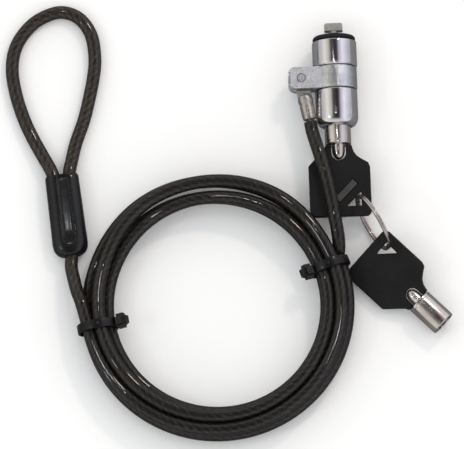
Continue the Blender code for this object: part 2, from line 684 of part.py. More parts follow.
# ---------------------------------------------------------------- keys
# key frame: origin at the bow/tube junction, +Y to the tip
# hollow tube with a closed back and a tang that the bow grips: (radius, y)
KEY_TUBE_PROFILE = [
    (0, -5.3), (0.9, -5.05), (1.65, -4.4), (2.15, -3.2), (2.3, -1.9), (2.3, 0.0),
    (4.45, 0.0), (KEY_TUBE_R, 0.3), (KEY_TUBE_R, KEY_TUBE_LEN - 0.25),
    (KEY_TUBE_R - 0.2, KEY_TUBE_LEN), (KEY_BORE_R + 0.1, KEY_TUBE_LEN),
    (KEY_BORE_R, KEY_TUBE_LEN - 0.1), (KEY_BORE_R, 1.2), (0, 1.2),
]
# plan of the bow: (x, y, corner radius)
BOW_CORNERS = [
    (-BOW_W / 2, -BOW_LEN, 2.6), (BOW_W / 2, -BOW_LEN, 2.0), (BOW_W / 2, -8.6, 0.6),
    (10.5, -6.9, 0), (8.3, -5.6, 0), (6.6, -4.4, 0), (5.5, -2.9, 0), (5.0, -1.4, 0),
    (4.75, -0.3, 0), (-4.75, -0.3, 0), (-5.2, -1.5, 0), (-BOW_W / 2, -7.7, 0.8),
]
HOLE_CORNERS = [
    (HOLE_X, -HOLE_BACK, 0.5), (HOLE_X, -HOLE_BACK + HOLE_LEG, 0.25),
    (HOLE_X - HOLE_LEG, -HOLE_BACK, 0.25),
]


def build_key_tube(name, place):
    tube = add(name + "_tube", lathe(KEY_TUBE_PROFILE, 22, math.radians(3)), NICKEL, place)
    wall_middle = (KEY_TUBE_R + KEY_BORE_R) / 2
    for k, depth in enumerate(KEY_CUT_DEPTHS):
        at_wall = place @ rotated(-pin_angle(k), 'Y') @ moved(wall_middle, 0, 0)
        notch = box(-1.6, 1.6, KEY_TUBE_LEN - depth, KEY_TUBE_LEN + 1.0,
                    -KEY_CUT_HALF_W, KEY_CUT_HALF_W)
        cut(tube, f"{name}_bit_{k + 1}_cut", notch, at_wall)


def build_key_bow(name, place):
    face_z = BOW_THICK / 2
    bow = add(name + "_bow", prism(rounded(BOW_CORNERS, 4), -face_z, face_z), BOW_ABS, place,
              sharp=30)
    tang = [(-TANG_CUT_R, 1.0)]
    for k in range(11):
        angle = math.pi + math.pi * k / 10
        tang.append((TANG_CUT_R * math.cos(angle), -TANG_CUT_BACK + TANG_CUT_R * math.sin(angle)))
    tang.append((TANG_CUT_R, 1.0))
    cut(bow, name + "_bow_tang_cut", prism(tang, -3, 3), place)
    cut(bow, name + "_bow_hole_cut", prism(rounded(HOLE_CORNERS, 3), -3, 3), place)
    # inlaid bar in a pocket of the +Z face, parallel to the hole's long edge
    bar_place = place @ moved(2.2, -17.1, 0) @ rotated(45, 'Z')
    pocket = box(-4.9, 4.9, -1.45, 1.45, face_z - 0.7, face_z + 1)
    cut(bow, name + "_bow_pocket_cut", pocket, bar_place)
    inlay = box(-4.65, 4.65, -1.2, 1.2, face_z - 0.5, face_z - 0.05)
    add(name + "_inlay", inlay, BOW_INLAY, bar_place, sharp=None)


# ---------------------------------------------------------------- split ring
def build_split_ring():
    """Flat wire wound nearly twice round, stepping across from one layer to the next."""
    half_w, half_h = KEYRING_W / 2, KEYRING_THICK / 4 - 0.03
    section = ((-half_w, -half_h), (half_w, -half_h), (half_w, half_h), (-half_w, half_h))
    solid = bmesh.new()
    rings = []
    for i in range(int(KEYRING_SWEEP / KEYRING_STEP) + 1):
        travel = i * KEYRING_STEP
        angle = math.radians(travel + KEYRING_START)
        lift = -KEYRING_THICK / 4 + KEYRING_THICK / 2 * smoothstep(310, 390, travel)
        rings.append([solid.verts.new(((KEYRING_R + across) * math.cos(angle),
                                       (KEYRING_R + across) * math.sin(angle), lift + z))
                      for across, z in section])
    skin(solid, rings)
    solid.faces.new(rings[0])
    solid.faces.new(rings[-1])
    add("split_ring", solid, RING_NICKEL, KEYRING)


# ---------------------------------------------------------------- build
build_cable()
build_loop_sleeve()
build_cable_tie("cable_tie_left", LEFT_TIE_ANGLE)
build_cable_tie("cable_tie_right", RIGHT_TIE_ANGLE)
build_end_ferrule()
build_yoke()
build_clevis_pin()
build_nose_bumper()
build_upper_shell()
build_lower_shell()
build_cylinder_body()
build_stator_and_plug()
for pin_number in range(PIN_COUNT):
    build_pin_stack(pin_number)
build_t_bar()
build_retaining_clip()
for key_name, key_place in (("key_1", KEY_1), ("key_2", KEY_2)):
    build_key_tube(key_name, key_place)
    build_key_bow(key_name, key_place)
build_split_ring()
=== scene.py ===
"""Looks of the laptop cable lock: a coiled cable, its eye loop, the lock head and two keys.

The coil lies flat over the floor at z = 0.  The eye loop is at its -X, +Y side and the lock head at
its +X, +Y side, with key 1 in the head's -Y end and key 2 joined to it by the split ring.
Lengths are in millimetres until a piece is placed; pieces stand in the row frame, in metres."""

import bpy
import bmesh
import math
from mathutils import Matrix, Vector


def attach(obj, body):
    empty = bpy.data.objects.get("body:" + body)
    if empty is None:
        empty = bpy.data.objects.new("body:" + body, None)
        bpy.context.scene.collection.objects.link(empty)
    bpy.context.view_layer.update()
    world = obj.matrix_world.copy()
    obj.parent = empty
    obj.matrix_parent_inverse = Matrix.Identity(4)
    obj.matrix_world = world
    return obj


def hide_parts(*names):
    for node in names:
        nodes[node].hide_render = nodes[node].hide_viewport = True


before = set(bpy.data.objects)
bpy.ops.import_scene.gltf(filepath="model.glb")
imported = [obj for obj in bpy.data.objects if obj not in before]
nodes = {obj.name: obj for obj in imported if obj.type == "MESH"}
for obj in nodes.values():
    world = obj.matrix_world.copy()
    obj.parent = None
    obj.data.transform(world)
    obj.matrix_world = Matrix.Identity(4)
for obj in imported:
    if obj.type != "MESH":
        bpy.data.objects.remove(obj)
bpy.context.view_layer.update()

MM_TO_M = 0.001
ORIGIN_SHIFT = Vector((0.68, 0.293, 0.0))   # puts the origin under the middle of the whole object

# ---------------------------------------------------------------- dimensions
# coated cable
JACKET_R = 2.35
MOUTH_BORE_R = 1.5
# coil bundle: five passes twisted around one circular bundle axis
COIL_X, COIL_Y, COIL_Z = -5.0, -31.9, 7.60
COIL_R = 43.2
BUNDLE_R = 4.10                        # strand centre to bundle axis
COIL_START = 190.0                     # degrees, at the left tie
COIL_TURNS_DEG = 4 * 360.0 + 189.0     # from the left tie to the right tie
STRAND_PHASE = 31.0                    # place of the strand in the bundle at the left tie
STRAND_STEP = 72.0 / 360.0             # turn of the bundle per degree round the coil
STRAND_SPREAD = (-27.0, -9.0, 9.0, 27.0, 0.0)   # extra turn of each pass, degrees
COIL_STEP_DEG = 11.4
PATH_STEP = 1.3                        # longest step along the cable's centre line
# lock head, measured back from its nose plane along the barrel
GAP = 0.3
NOSE = (37.2, 67.5, 8.1)
HEAD_LEAN = 2.28                       # degrees anticlockwise seen from above
UPPER_R, RING_R, LOWER_R = 8.0, 7.75, 7.6
BUMPER_LEN = 1.7
UPPER_START, UPPER_END = BUMPER_LEN + GAP, 11.6
RING_START, RING_END = UPPER_END + GAP, 19.9
LOWER_START, DOME_START, HEAD_END = RING_END + GAP, 29.8, 33.5
PIN_X, PIN_A, PIN_Z = -12.4, 16.0, 1.8 # clevis pin from the barrel axis
FERRULE_DIR = 12.0                     # degrees from straight back, towards the barrel
# keys
KEY_TUBE_R, KEY_TUBE_IN, KEY_TUBE_LEN = 4.7, 3.9, 12.2
BOW_W, BOW_L, BOW_T = 22.2, 26.4, 2.4
KEY_1_A = 40.1                         # bow/tube junction from the nose plane
HOLE_LEG, HOLE_U, HOLE_V = 5.6, 22.8, 7.6
SEAT_INSET_1, SEAT_INSET_2 = 1.55, 1.50   # ring wire centre from the two hole edges
KEY_2_HEADING = (0.731, -0.682)
KEY_2_ROLL, KEY_2_PITCH = 19.0, 2.4
SEAT_2_Z = 8.6
PIN_COUNT = 7
# split ring
KEYRING_R, KEYRING_W, KEYRING_T = 10.6, 1.2, 1.5
KEYRING_Z = 11.6
KEYRING_LEAN = 7.0
# cable ties
TIE_R_IN, TIE_THICK, TIE_W = BUNDLE_R + JACKET_R + 0.27, 0.8, 3.2
TIE_HEAD_LEN, TIE_HEAD_RAISE = 5.0, 25.0   # the head stands up from the inner side


# ---------------------------------------------------------------- curves
def smoothstep(low, high, x):
    t = min(1.0, max(0.0, (x - low) / (high - low)))
    return t * t * (3 - 2 * t)


def catmull(before, start, end, after, t):
    """Catmull-Rom point between start and end."""
    return 0.5 * ((2 * start) + (end - before) * t
                  + (2 * before - 5 * start + 4 * end - after) * (t * t)
                  + (3 * start - before - 3 * end + after) * (t * t * t))


def frames(path):
    """Parallel-transported side and up vectors along a path."""
    last = len(path) - 1
    tangents = [(path[min(i + 1, last)] - path[max(i - 1, 0)]).normalized()
                for i in range(last + 1)]
    side = tangents[0].cross(Vector((0, 0, 1))).normalized()
    out = []
    for tangent in tangents:
        side = (side - tangent * side.dot(tangent)).normalized()
        out.append((side.copy(), tangent.cross(side).normalized() * -1.0))
    return out


def path_lengths(path):
    """Length from the start of the path to each of its points."""
    lengths = [0.0]
    for i in range(1, len(path)):
        lengths.append(lengths[-1] + (path[i] - path[i - 1]).length)
    return lengths


def straight(start, end, steps):
    return [start.lerp(end, i / steps) for i in range(steps + 1)]


# ---------------------------------------------------------------- outlines
def corners(x0, x1, y0, y1):
    return [(x0, y0), (x1, y0), (x1, y1), (x0, y1)]


def oval(half_w, half_h, sides, power):
    """Superellipse outline."""
    points = []
    for k in range(sides):
        angle = 2 * math.pi * k / sides
        c, s = math.cos(angle), math.sin(angle)
        points.append((half_w * math.copysign(abs(c) ** (2 / power), c),
                       half_h * math.copysign(abs(s) ** (2 / power), s)))
    return points


def corner_arc(corner, back, ahead, half_angle, setback, radius, steps):
    """Arc that touches both edges of a corner at the setback distance."""
    centre = corner + (back + ahead).normalized() * (radius / math.sin(half_angle))
    start, end = corner + back * setback, corner + ahead * setback
    angle_0 = math.atan2(start.y - centre.y, start.x - centre.x)
    angle_1 = math.atan2(end.y - centre.y, end.x - centre.x)
    while angle_1 - angle_0 > math.pi:
        angle_1 -= 2 * math.pi
    while angle_1 - angle_0 < -math.pi:
        angle_1 += 2 * math.pi
    points = []
    for k in range(steps + 1):
        angle = angle_0 + (angle_1 - angle_0) * k / steps
        points.append((centre.x + radius * math.cos(angle), centre.y + radius * math.sin(angle)))
    return points


def rounded(points, radii, steps):
    """Round the corners of a closed outline, with one radius for all or one for each corner."""
    out = []
    count = len(points)
    if isinstance(radii, float):
        radii = [radii] * count
    for i, radius in enumerate(radii):
        corner = Vector(points[i])
        if radius <= 0:
            out.append((corner.x, corner.y))
            continue
        back = (Vector(points[i - 1]) - corner).normalized()
        ahead = (Vector(points[(i + 1) % count]) - corner).normalized()
        half_angle = back.angle(ahead) / 2
        setback = radius / math.tan(half_angle)
        out += corner_arc(corner, back, ahead, half_angle, setback, radius, steps)
    return out


def fillet(points, radius, steps=3):
    """Round the corners of an outline; each radius is held to what its edges allow."""
    out, count = [], len(points)
    for i in range(count):
        corner = Vector(points[i])
        back, ahead = Vector(points[i - 1]) - corner, Vector(points[(i + 1) % count]) - corner
        back_len, ahead_len = back.length, ahead.length
        if back_len < 1e-6 or ahead_len < 1e-6:
            continue
        back, ahead = back / back_len, ahead / ahead_len
        angle = back.angle(ahead)
        # nearly straight corners and corners on the axis stay as they are
        if angle > math.radians(172) or abs(corner.x) < 1e-6:
            out.append((corner.x, corner.y))
            continue
        half_angle = angle / 2
        setback = min(radius / math.tan(half_angle), 0.42 * back_len, 0.42 * ahead_len)
        held = setback * math.tan(half_angle)
        out += corner_arc(corner, back, ahead, half_angle, setback, held, steps)
    return out


# ---------------------------------------------------------------- solids
def bridge(solid, rings, wrap=False):
    """Quads between neighbouring rings of vertices; wrap also joins the last to the first."""
    faces = []
    for i in range(len(rings) if wrap else len(rings) - 1):
        here, there = rings[i], rings[(i + 1) % len(rings)]
        for k in range(len(here)):
            j = (k + 1) % len(here)
            faces.append(solid.faces.new((here[k], here[j], there[j], there[k])))
    return faces


def lathe(profile, sides, with_uv=False):
    """Closed profile of (radius, y) turned about the local Y axis.
    UV runs round the body and along its skin in millimetres."""
    solid = bmesh.new()
    uv_layer = solid.loops.layers.uv.new("UVMap") if with_uv else None
    count = len(profile)
    skin = [0.0]
    rings = []
    for i, (radius, y) in enumerate(profile):
        next_radius, next_y = profile[(i + 1) % count]
        skin.append(skin[-1] + math.hypot(next_radius - radius, next_y - y))
        if radius < 1e-6:
            rings.append([solid.verts.new((0, y, 0))])
        else:
            rings.append([solid.verts.new((radius * math.cos(2 * math.pi * k / sides), y,
                                           radius * math.sin(2 * math.pi * k / sides)))
                          for k in range(sides)])
    for i in range(count):
        here, there = rings[i], rings[(i + 1) % count]
        if len(here) == 1 and len(there) == 1:
            continue
        for k in range(sides):
            j = (k + 1) % sides
            # each corner is (vertex, step round the body, step along the profile)
            if len(here) == 1:
                loop_of = ((here[0], k, i), (there[k], k, i + 1), (there[j], k + 1, i + 1))
            elif len(there) == 1:
                loop_of = ((here[k], k, i), (there[0], k, i + 1), (here[j], k + 1, i))
            else:
                loop_of = ((here[k], k, i), (there[k], k, i + 1),
                           (there[j], k + 1, i + 1), (here[j], k + 1, i))
            face = solid.faces.new([corner[0] for corner in loop_of])
            if with_uv:
                for loop, (_, step, station) in zip(face.loops, loop_of):
                    loop[uv_layer].uv = (step / sides, skin[station])
    return solid


def turned(profile, sides, radius, steps=3):
    """Turned body with rounded corners and a UV map."""
    return lathe(fillet(profile, radius, steps), sides, with_uv=True)


def rod(radius, y0, y1, sides):
    return lathe([(0, y0), (radius, y0), (radius, y1), (0, y1)], sides)


def prism(outline, z0, z1):
    """Plan outline of (x, y) points raised between two heights."""
    solid = bmesh.new()
    low = [solid.verts.new((x, y, z0)) for x, y in outline]
    top = [solid.verts.new((x, y, z1)) for x, y in outline]
    solid.faces.new(low)
    solid.faces.new(top)
    bridge(solid, [low, top])
    return solid


def box(x0, x1, y0, y1, z0, z1):
    return prism(corners(x0, x1, y0, y1), z0, z1)


def soft_box(*sizes, radius, segments):
    solid = box(*sizes)
    bmesh.ops.bevel(solid, geom=solid.edges[:], offset=radius, segments=segments, affect='EDGES')
    return solid


def tube(path, radius, sides, rim, bore=0.0):
    """Smooth round skin along a path with rounded mouths; UV is (turn, length in mm)."""
    path_frames = frames(path)
    lengths = path_lengths(path)
    solid = bmesh.new()
    uv_layer = solid.loops.layers.uv.new("UVMap")
    start_dir = (path[1] - path[0]).normalized()
    end_dir = (path[-1] - path[-2]).normalized()
    # (setback, trim) of the rounded rim as parts of its radius, from the mouth inwards
    rims = [(1 - math.sin(k / 3 * math.pi / 2), 1 - math.cos(k / 3 * math.pi / 2))
            for k in (3, 2, 1)]
    # (centre, (side, up), radius, length along the path)
    stations = [(path[0] + start_dir * rim * back, path_frames[0], radius - rim * trim, rim * back)
                for back, trim in rims]
    for point, axes, length in zip(path, path_frames, lengths):
        if rim * 1.2 < length < lengths[-1] - rim * 1.2:
            stations.append((point, axes, radius, length))
    for back, trim in reversed(rims):
        stations.append((path[-1] - end_dir * rim * back, path_frames[-1], radius - rim * trim,
                         lengths[-1] - rim * back))

    def circle(centre, axes, size):
        ring = []
        for k in range(sides):
            angle = 2 * math.pi * k / sides
            spoke = axes[0] * math.cos(angle) + axes[1] * math.sin(angle)
            ring.append(solid.verts.new(centre + spoke * size))
        return ring

    rings = [circle(centre, axes, size) for centre, axes, size, _ in stations]
    for index, face in enumerate(bridge(solid, rings)):
        i, k = divmod(index, sides)
        here, there = stations[i][3], stations[i + 1][3]
        uvs = ((k / sides, here), ((k + 1) / sides, here),
               ((k + 1) / sides, there), (k / sides, there))
        for loop, uv in zip(face.loops, uvs):
            loop[uv_layer].uv = uv
    for end, inward in ((0, start_dir), (-1, -end_dir)):
        if bore > 0:
            mouth = circle(stations[end][0], stations[end][1], bore)
            deep = [solid.verts.new(vert.co + inward * 1.5) for vert in mouth]
            for k in range(sides):
                j = (k + 1) % sides
                solid.faces.new((rings[end][k], rings[end][j], mouth[j], mouth[k]))
                solid.faces.new((mouth[k], mouth[j], deep[j], deep[k]))
            solid.faces.new(deep)
        else:
            solid.faces.new(rings[end])
    return solid


def join(parts):
    """Several bmeshes in one."""
    whole = bmesh.new()
    for part in parts:
        mesh = bpy.data.meshes.new("bit")
        part.to_mesh(mesh)
        part.free()
        whole.from_mesh(mesh)
        bpy.data.meshes.remove(mesh)
    return whole


# ---------------------------------------------------------------- placing and carving
def stand(name, solid, material, matrix):
    """A bmesh drawn in millimetres becomes an object in the row frame."""
    if matrix is not None:
        solid.transform(matrix)
    solid.transform(Matrix.Translation(ORIGIN_SHIFT))
    solid.transform(Matrix.Scale(MM_TO_M, 4))
    bmesh.ops.recalc_face_normals(solid, faces=solid.faces)
    mesh = bpy.data.meshes.new(name)
    solid.to_mesh(mesh)
    solid.free()
    mesh.materials.append(material)
    obj = bpy.data.objects.new(name, mesh)
    bpy.context.scene.collection.objects.link(obj)
    return obj


def bake(name, solid, material, body, matrix=None, sharp=30.0, bevel=0.0, segments=2,
         instead=None):
    """Stand a piece, shade it, and tell the frame what it rides on and stands in for."""
    obj = stand(name, solid, material, matrix)
    obj.data.shade_smooth()
    obj.data.set_sharp_from_angle(angle=math.radians(sharp))
    if body:
        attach(obj, body)
        if instead:
            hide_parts(instead)
    if bevel:
        edge = obj.modifiers.new("edge", 'BEVEL')
        edge.width = bevel * MM_TO_M
        edge.segments = segments
        edge.limit_method = 'ANGLE'
        edge.angle_limit = math.radians(32)
        edge.harden_normals = True
        edge.use_clamp_overlap = True
    return obj


def carve(target, solid, matrix):
    """Cut a solid away, and leave the result in the target's mesh."""
    tool = stand("tool", solid, target.data.materials[0], matrix)
    kept = list(target.modifiers)
    for modifier in kept:
        modifier.show_viewport = False
    cut = target.modifiers.new("cut", 'BOOLEAN')
    cut.operation = 'DIFFERENCE'
    cut.solver = 'EXACT'
    cut.object = tool
    bpy.context.view_layer.update()
    depsgraph = bpy.context.evaluated_depsgraph_get()
    carved = bpy.data.meshes.new_from_object(target.evaluated_get(depsgraph))
    target.modifiers.remove(cut)
    for modifier in kept:
        modifier.show_viewport = True
    old, tool_mesh = target.data, tool.data
    target.data = carved
    bpy.data.meshes.remove(old)
    bpy.data.objects.remove(tool)
    bpy.data.meshes.remove(tool_mesh)
    carved.shade_smooth()
    carved.set_sharp_from_angle(angle=math.radians(30))


# ---------------------------------------------------------------- local frames
def shift(x, y, z):
    return Matrix.Translation((x, y, z))


def turn(degrees, axis):
    return Matrix.Rotation(math.radians(degrees), 4, axis)


# lock and keys: +Y runs out of the nose or tube; ferrule and sleeve: -Y runs down their length
ACROSS = turn(90, 'X')                 # lays a turned body's axis along Z
LOCK = shift(*NOSE) @ turn(HEAD_LEAN, 'Z')
PIVOT = LOCK @ shift(PIN_X, -PIN_A, PIN_Z)
FERRULE = Matrix.Translation(PIVOT.translation) @ turn(FERRULE_DIR, 'Z')
SLEEVE = shift(-60.8, 17.0, 4.2) @ turn(7.2, 'Z')
KEY_1 = LOCK @ shift(0, -KEY_1_A, 0)


def eye(inset):
    """Ring seat in a key's bow."""
    return Vector((HOLE_V - inset, -(HOLE_U - inset), 0))


# ring plane: through key 1's hole, running towards +X and -Y to key 2's hole
RING_SEAT_1 = KEY_1 @ eye(SEAT_INSET_1)
RING_DIR = Vector((0.516, -0.857, 0)).normalized()
RING_LEAN = math.radians(KEYRING_LEAN)
ring_normal = Vector((-RING_DIR.y, RING_DIR.x, 0))
RING_UP = (Vector((0, 0, 1)) * math.cos(RING_LEAN) + ring_normal * math.sin(RING_LEAN)).normalized()


def ring_reach(height):
    """From the ring's centre to its wire at a height: along the ring's direction, and down."""
    drop = (KEYRING_Z - height) / math.cos(RING_LEAN)
    return math.sqrt(KEYRING_R ** 2 - drop ** 2), drop


reach_1, drop_1 = ring_reach(RING_SEAT_1.z)
RING_CENTRE = RING_SEAT_1 + RING_DIR * reach_1 + RING_UP * drop_1
reach_2, drop_2 = ring_reach(SEAT_2_Z)
RING_SEAT_2 = RING_CENTRE + RING_DIR * reach_2 - RING_UP * drop_2
RING_FRAME = Matrix((RING_DIR, RING_UP, RING_DIR.cross(RING_UP).normalized())).transposed().to_4x4()
RING_FRAME.translation = RING_CENTRE


def key_2_frame():
    """Key 2 lies reverse side up, rolled so that its hole stands up to the ring."""
    pitch, roll = math.radians(KEY_2_PITCH), math.radians(KEY_2_ROLL)
    ahead_x, ahead_y = KEY_2_HEADING
    along = Vector((ahead_x * math.cos(pitch), ahead_y * math.cos(pitch),
                    -math.sin(pitch))).normalized()
    level = Vector((-ahead_y, ahead_x, 0)).normalized()
    level = (level - along * level.dot(along)).normalized()
    above = -(level.cross(along)).normalized()
    side = (level * math.cos(roll) + above * math.sin(roll)).normalized()
    face = side.cross(along).normalized()
    rotation = Matrix((side, along, face)).transposed().to_4x4()
    return Matrix.Translation(RING_SEAT_2 - (rotation @ eye(SEAT_INSET_2))) @ rotation


KEY_2 = key_2_frame()

# ---------------------------------------------------------------- cable path
# (x, y, z) centre line of the eye loop, from the dead end in the sleeve to the standing leg
LOOP = [(-58.0, 18.2, 4.0), (-57.4, 21.8, 3.3), (-55.6, 29.7, 2.5), (-52.9, 37.7, 2.3),
        (-51.0, 45.6, 2.3), (-49.5, 53.5, 2.3), (-48.9, 60.9, 2.3), (-50.3, 69.6, 2.3),
        (-54.8, 75.9, 2.3), (-61.6, 78.0, 2.3), (-69.2, 75.2, 2.3), (-74.6, 70.0, 2.3),
        (-77.8, 63.8, 2.3), (-78.7, 56.2, 2.3), (-77.3, 47.5, 2.3), (-74.7, 39.2, 2.3),
        (-71.7, 32.3, 2.4), (-68.0, 25.3, 2.9), (-64.6, 19.0, 3.8)]
# standing part, from the sleeve's outlet to the left tie
LEAD = [(-57.2, -16.8, 4.9), (-56.3, -21.5, 6.4), (-55.1, -26.5, 8.1), (-53.4, -31.4, 9.35)]
# tail, from the right tie over the key bow to the end ferrule
TAIL = [(38.9, -11.5, 8.7), (38.9, -8.4, 10.3), (38.4, -4.8, 11.6), (37.5, 0.0, 11.95),
        (36.6, 5.0, 11.95), (34.5, 14.8, 11.95), (32.4, 22.0, 11.9), (31.1, 26.4, 11.3)]
# distances of the path's points down the sleeve, and down the ferrule from its pin
STANDING_DEPTHS = (2.0, 6.0, 11.0, 15.0, 18.0, 21.0, 25.0, 29.5)
FERRULE_DEPTHS = (19.6, 15.7, 12.0)


def in_sleeve(offset, depth):
    return SLEEVE @ Vector((offset, -depth, 0))


def along_ferrule(depth):
    return FERRULE @ Vector((0, -depth, 0))


def standing_offset(depth):
    """The standing leg moves from its lobe to the middle of the outlet."""
    return -2.9 + 1.0 * smoothstep(0, 6, depth) + 1.9 * smoothstep(13, 23, depth)


def coil_point(phi):
    """Centre of the strand, phi degrees round from the left tie."""
    theta = COIL_START + phi
    at = theta % 360.0
    alpha = STRAND_PHASE + STRAND_STEP * phi
    # in the +Y half only four passes share the bundle, so they spread out
    spread = smoothstep(22, 70, at) * (1 - smoothstep(118, 168, at))
    alpha += spread * STRAND_SPREAD[min(int((theta - 180.0) // 360.0), 4)]
    # the bundle stands taller where the key bow reaches into it
    tall = 1.0 + 0.17 * smoothstep(18, 36, at) * (1 - smoothstep(60, 100, at))
    radius = COIL_R + BUNDLE_R * math.cos(math.radians(alpha))
    return Vector((COIL_X + radius * math.cos(math.radians(theta)),
                   COIL_Y + radius * math.sin(math.radians(theta)),
                   COIL_Z + BUNDLE_R * tall * math.sin(math.radians(alpha))))


def fine_path():
    """The cable's centre line sampled closely and evenly."""
    # the first and last control points only guide the curve's direction
    control = [in_sleeve(2.5, 6.0), in_sleeve(2.85, 2.2)]
    control += [Vector(p) for p in LOOP]
    control += [in_sleeve(standing_offset(depth), depth) for depth in STANDING_DEPTHS]
    control += [Vector(p) for p in LEAD]
    steps = int(round(COIL_TURNS_DEG / COIL_STEP_DEG))
    first = len(control)
    control += [coil_point(COIL_TURNS_DEG * i / steps) for i in range(steps + 1)]
    last = len(control) - 1
    control.append(coil_point(COIL_TURNS_DEG + 3.5))
    control += [Vector(p) for p in TAIL]
    control += [along_ferrule(depth) for depth in FERRULE_DEPTHS]
    points = []
    for i in range(1, len(control) - 2):
        span = (control[i + 1] - control[i]).length
        cuts = max(1, int(math.ceil(span / PATH_STEP)))
        for k in range(cuts):
            if first <= i < last:
                points.append(coil_point(COIL_TURNS_DEG * (i - first + k / cuts) / steps))
            else:
                points.append(catmull(*control[i - 1:i + 3], k / cuts))
    points.append(control[-2])
    return points


# ---------------------------------------------------------------- material helpers
class Shader:
    """Small shorthand for building a node tree."""

    def __init__(self, tree):
        self.tree = tree

    def put(self, socket, value):
        """Link a socket or set a plain value; None leaves the input as it is."""
        if isinstance(value, bpy.types.NodeSocket):
            self.tree.links.new(value, socket)
        elif value is not None:
            socket.default_value = value

    def node(self, kind, **inputs):
        node = self.tree.nodes.new(kind)
        for key, value in inputs.items():
            self.put(node.inputs[key], value)
        return node

    def math(self, operation, first, second=0.0, third=None):
        node = self.node("ShaderNodeMath")
        node.operation = operation
        for socket, value in zip(node.inputs, (first, second, third)):
            self.put(socket, value)
        return node.outputs[0]

    def ramp(self, factor, stops):
        """Stops are (position, grey level or colour)."""
        node = self.node("ShaderNodeValToRGB")
        elements = node.color_ramp.elements
        while len(elements) < len(stops):
            elements.new(0.5)
        for element, (position, level) in zip(elements, stops):
            element.position = position
            colour = level if isinstance(level, tuple) else (level,) * 3
            element.color = (*colour, 1.0)
        self.put(node.inputs["Fac"], factor)
        return node.outputs["Color"]

    def mix(self, factor, first, second, mode='MIX'):
        node = self.node("ShaderNodeMix")
        node.data_type = 'RGBA'
        node.blend_type = mode
        self.put(node.inputs[0], factor)
        for index, colour in ((6, first), (7, second)):
            self.put(node.inputs[index], (*colour, 1.0) if isinstance(colour, tuple) else colour)
        return node.outputs[2]


class Surface(Shader):
    """A procedural material round one Principled node."""

    def __init__(self, name):
        self.material = bpy.data.materials.new(name)
        self.material.use_nodes = True
        super().__init__(self.material.node_tree)
        self.coords = self.node("ShaderNodeTexCoord").outputs

    def noise(self, scale, detail=4.0, rough=0.55, vector=None, stretch=None):
        vector = vector or self.coords["Object"]
        if stretch:
            vector = self.node("ShaderNodeMapping", Vector=vector, Scale=stretch).outputs["Vector"]
        return self.node("ShaderNodeTexNoise", Vector=vector, Scale=scale, Detail=detail,
                         Roughness=rough).outputs["Fac"]

    def bump(self, height, strength, distance, normal=None):
        return self.node("ShaderNodeBump", Strength=strength, Distance=distance, Height=height,
                         Normal=normal).outputs["Normal"]

    def edge_wear(self, radius):
        """1 near convex edges and 0 on open faces; the radius is in millimetres."""
        geometry = self.node("ShaderNodeNewGeometry")
        bevel = self.node("ShaderNodeBevel", Radius=radius * MM_TO_M)
        bevel.samples = 4
        dot = self.node("ShaderNodeVectorMath")
        dot.operation = 'DOT_PRODUCT'
        self.put(dot.inputs[0], geometry.outputs["Normal"])
        self.put(dot.inputs[1], bevel.outputs["Normal"])
        return self.ramp(dot.outputs["Value"], [(0.85, 1.0), (1.0, 0.0)])

    def finish(self, **inputs):
        principled = self.tree.nodes["Principled BSDF"]
        for key, value in inputs.items():
            self.put(principled.inputs[key.replace("_", " ")], value)
        return self.material


def brighter(colour, gain, lift):
    return tuple(min(1.0, gain * c + lift) for c in colour)


# ---------------------------------------------------------------- materials
STRANDS = 6                            # strands in the wire rope
STRAND_LAY, WIRE_LAY = 19.0, 15.0      # mm of cable per turn, of strands and of single wires


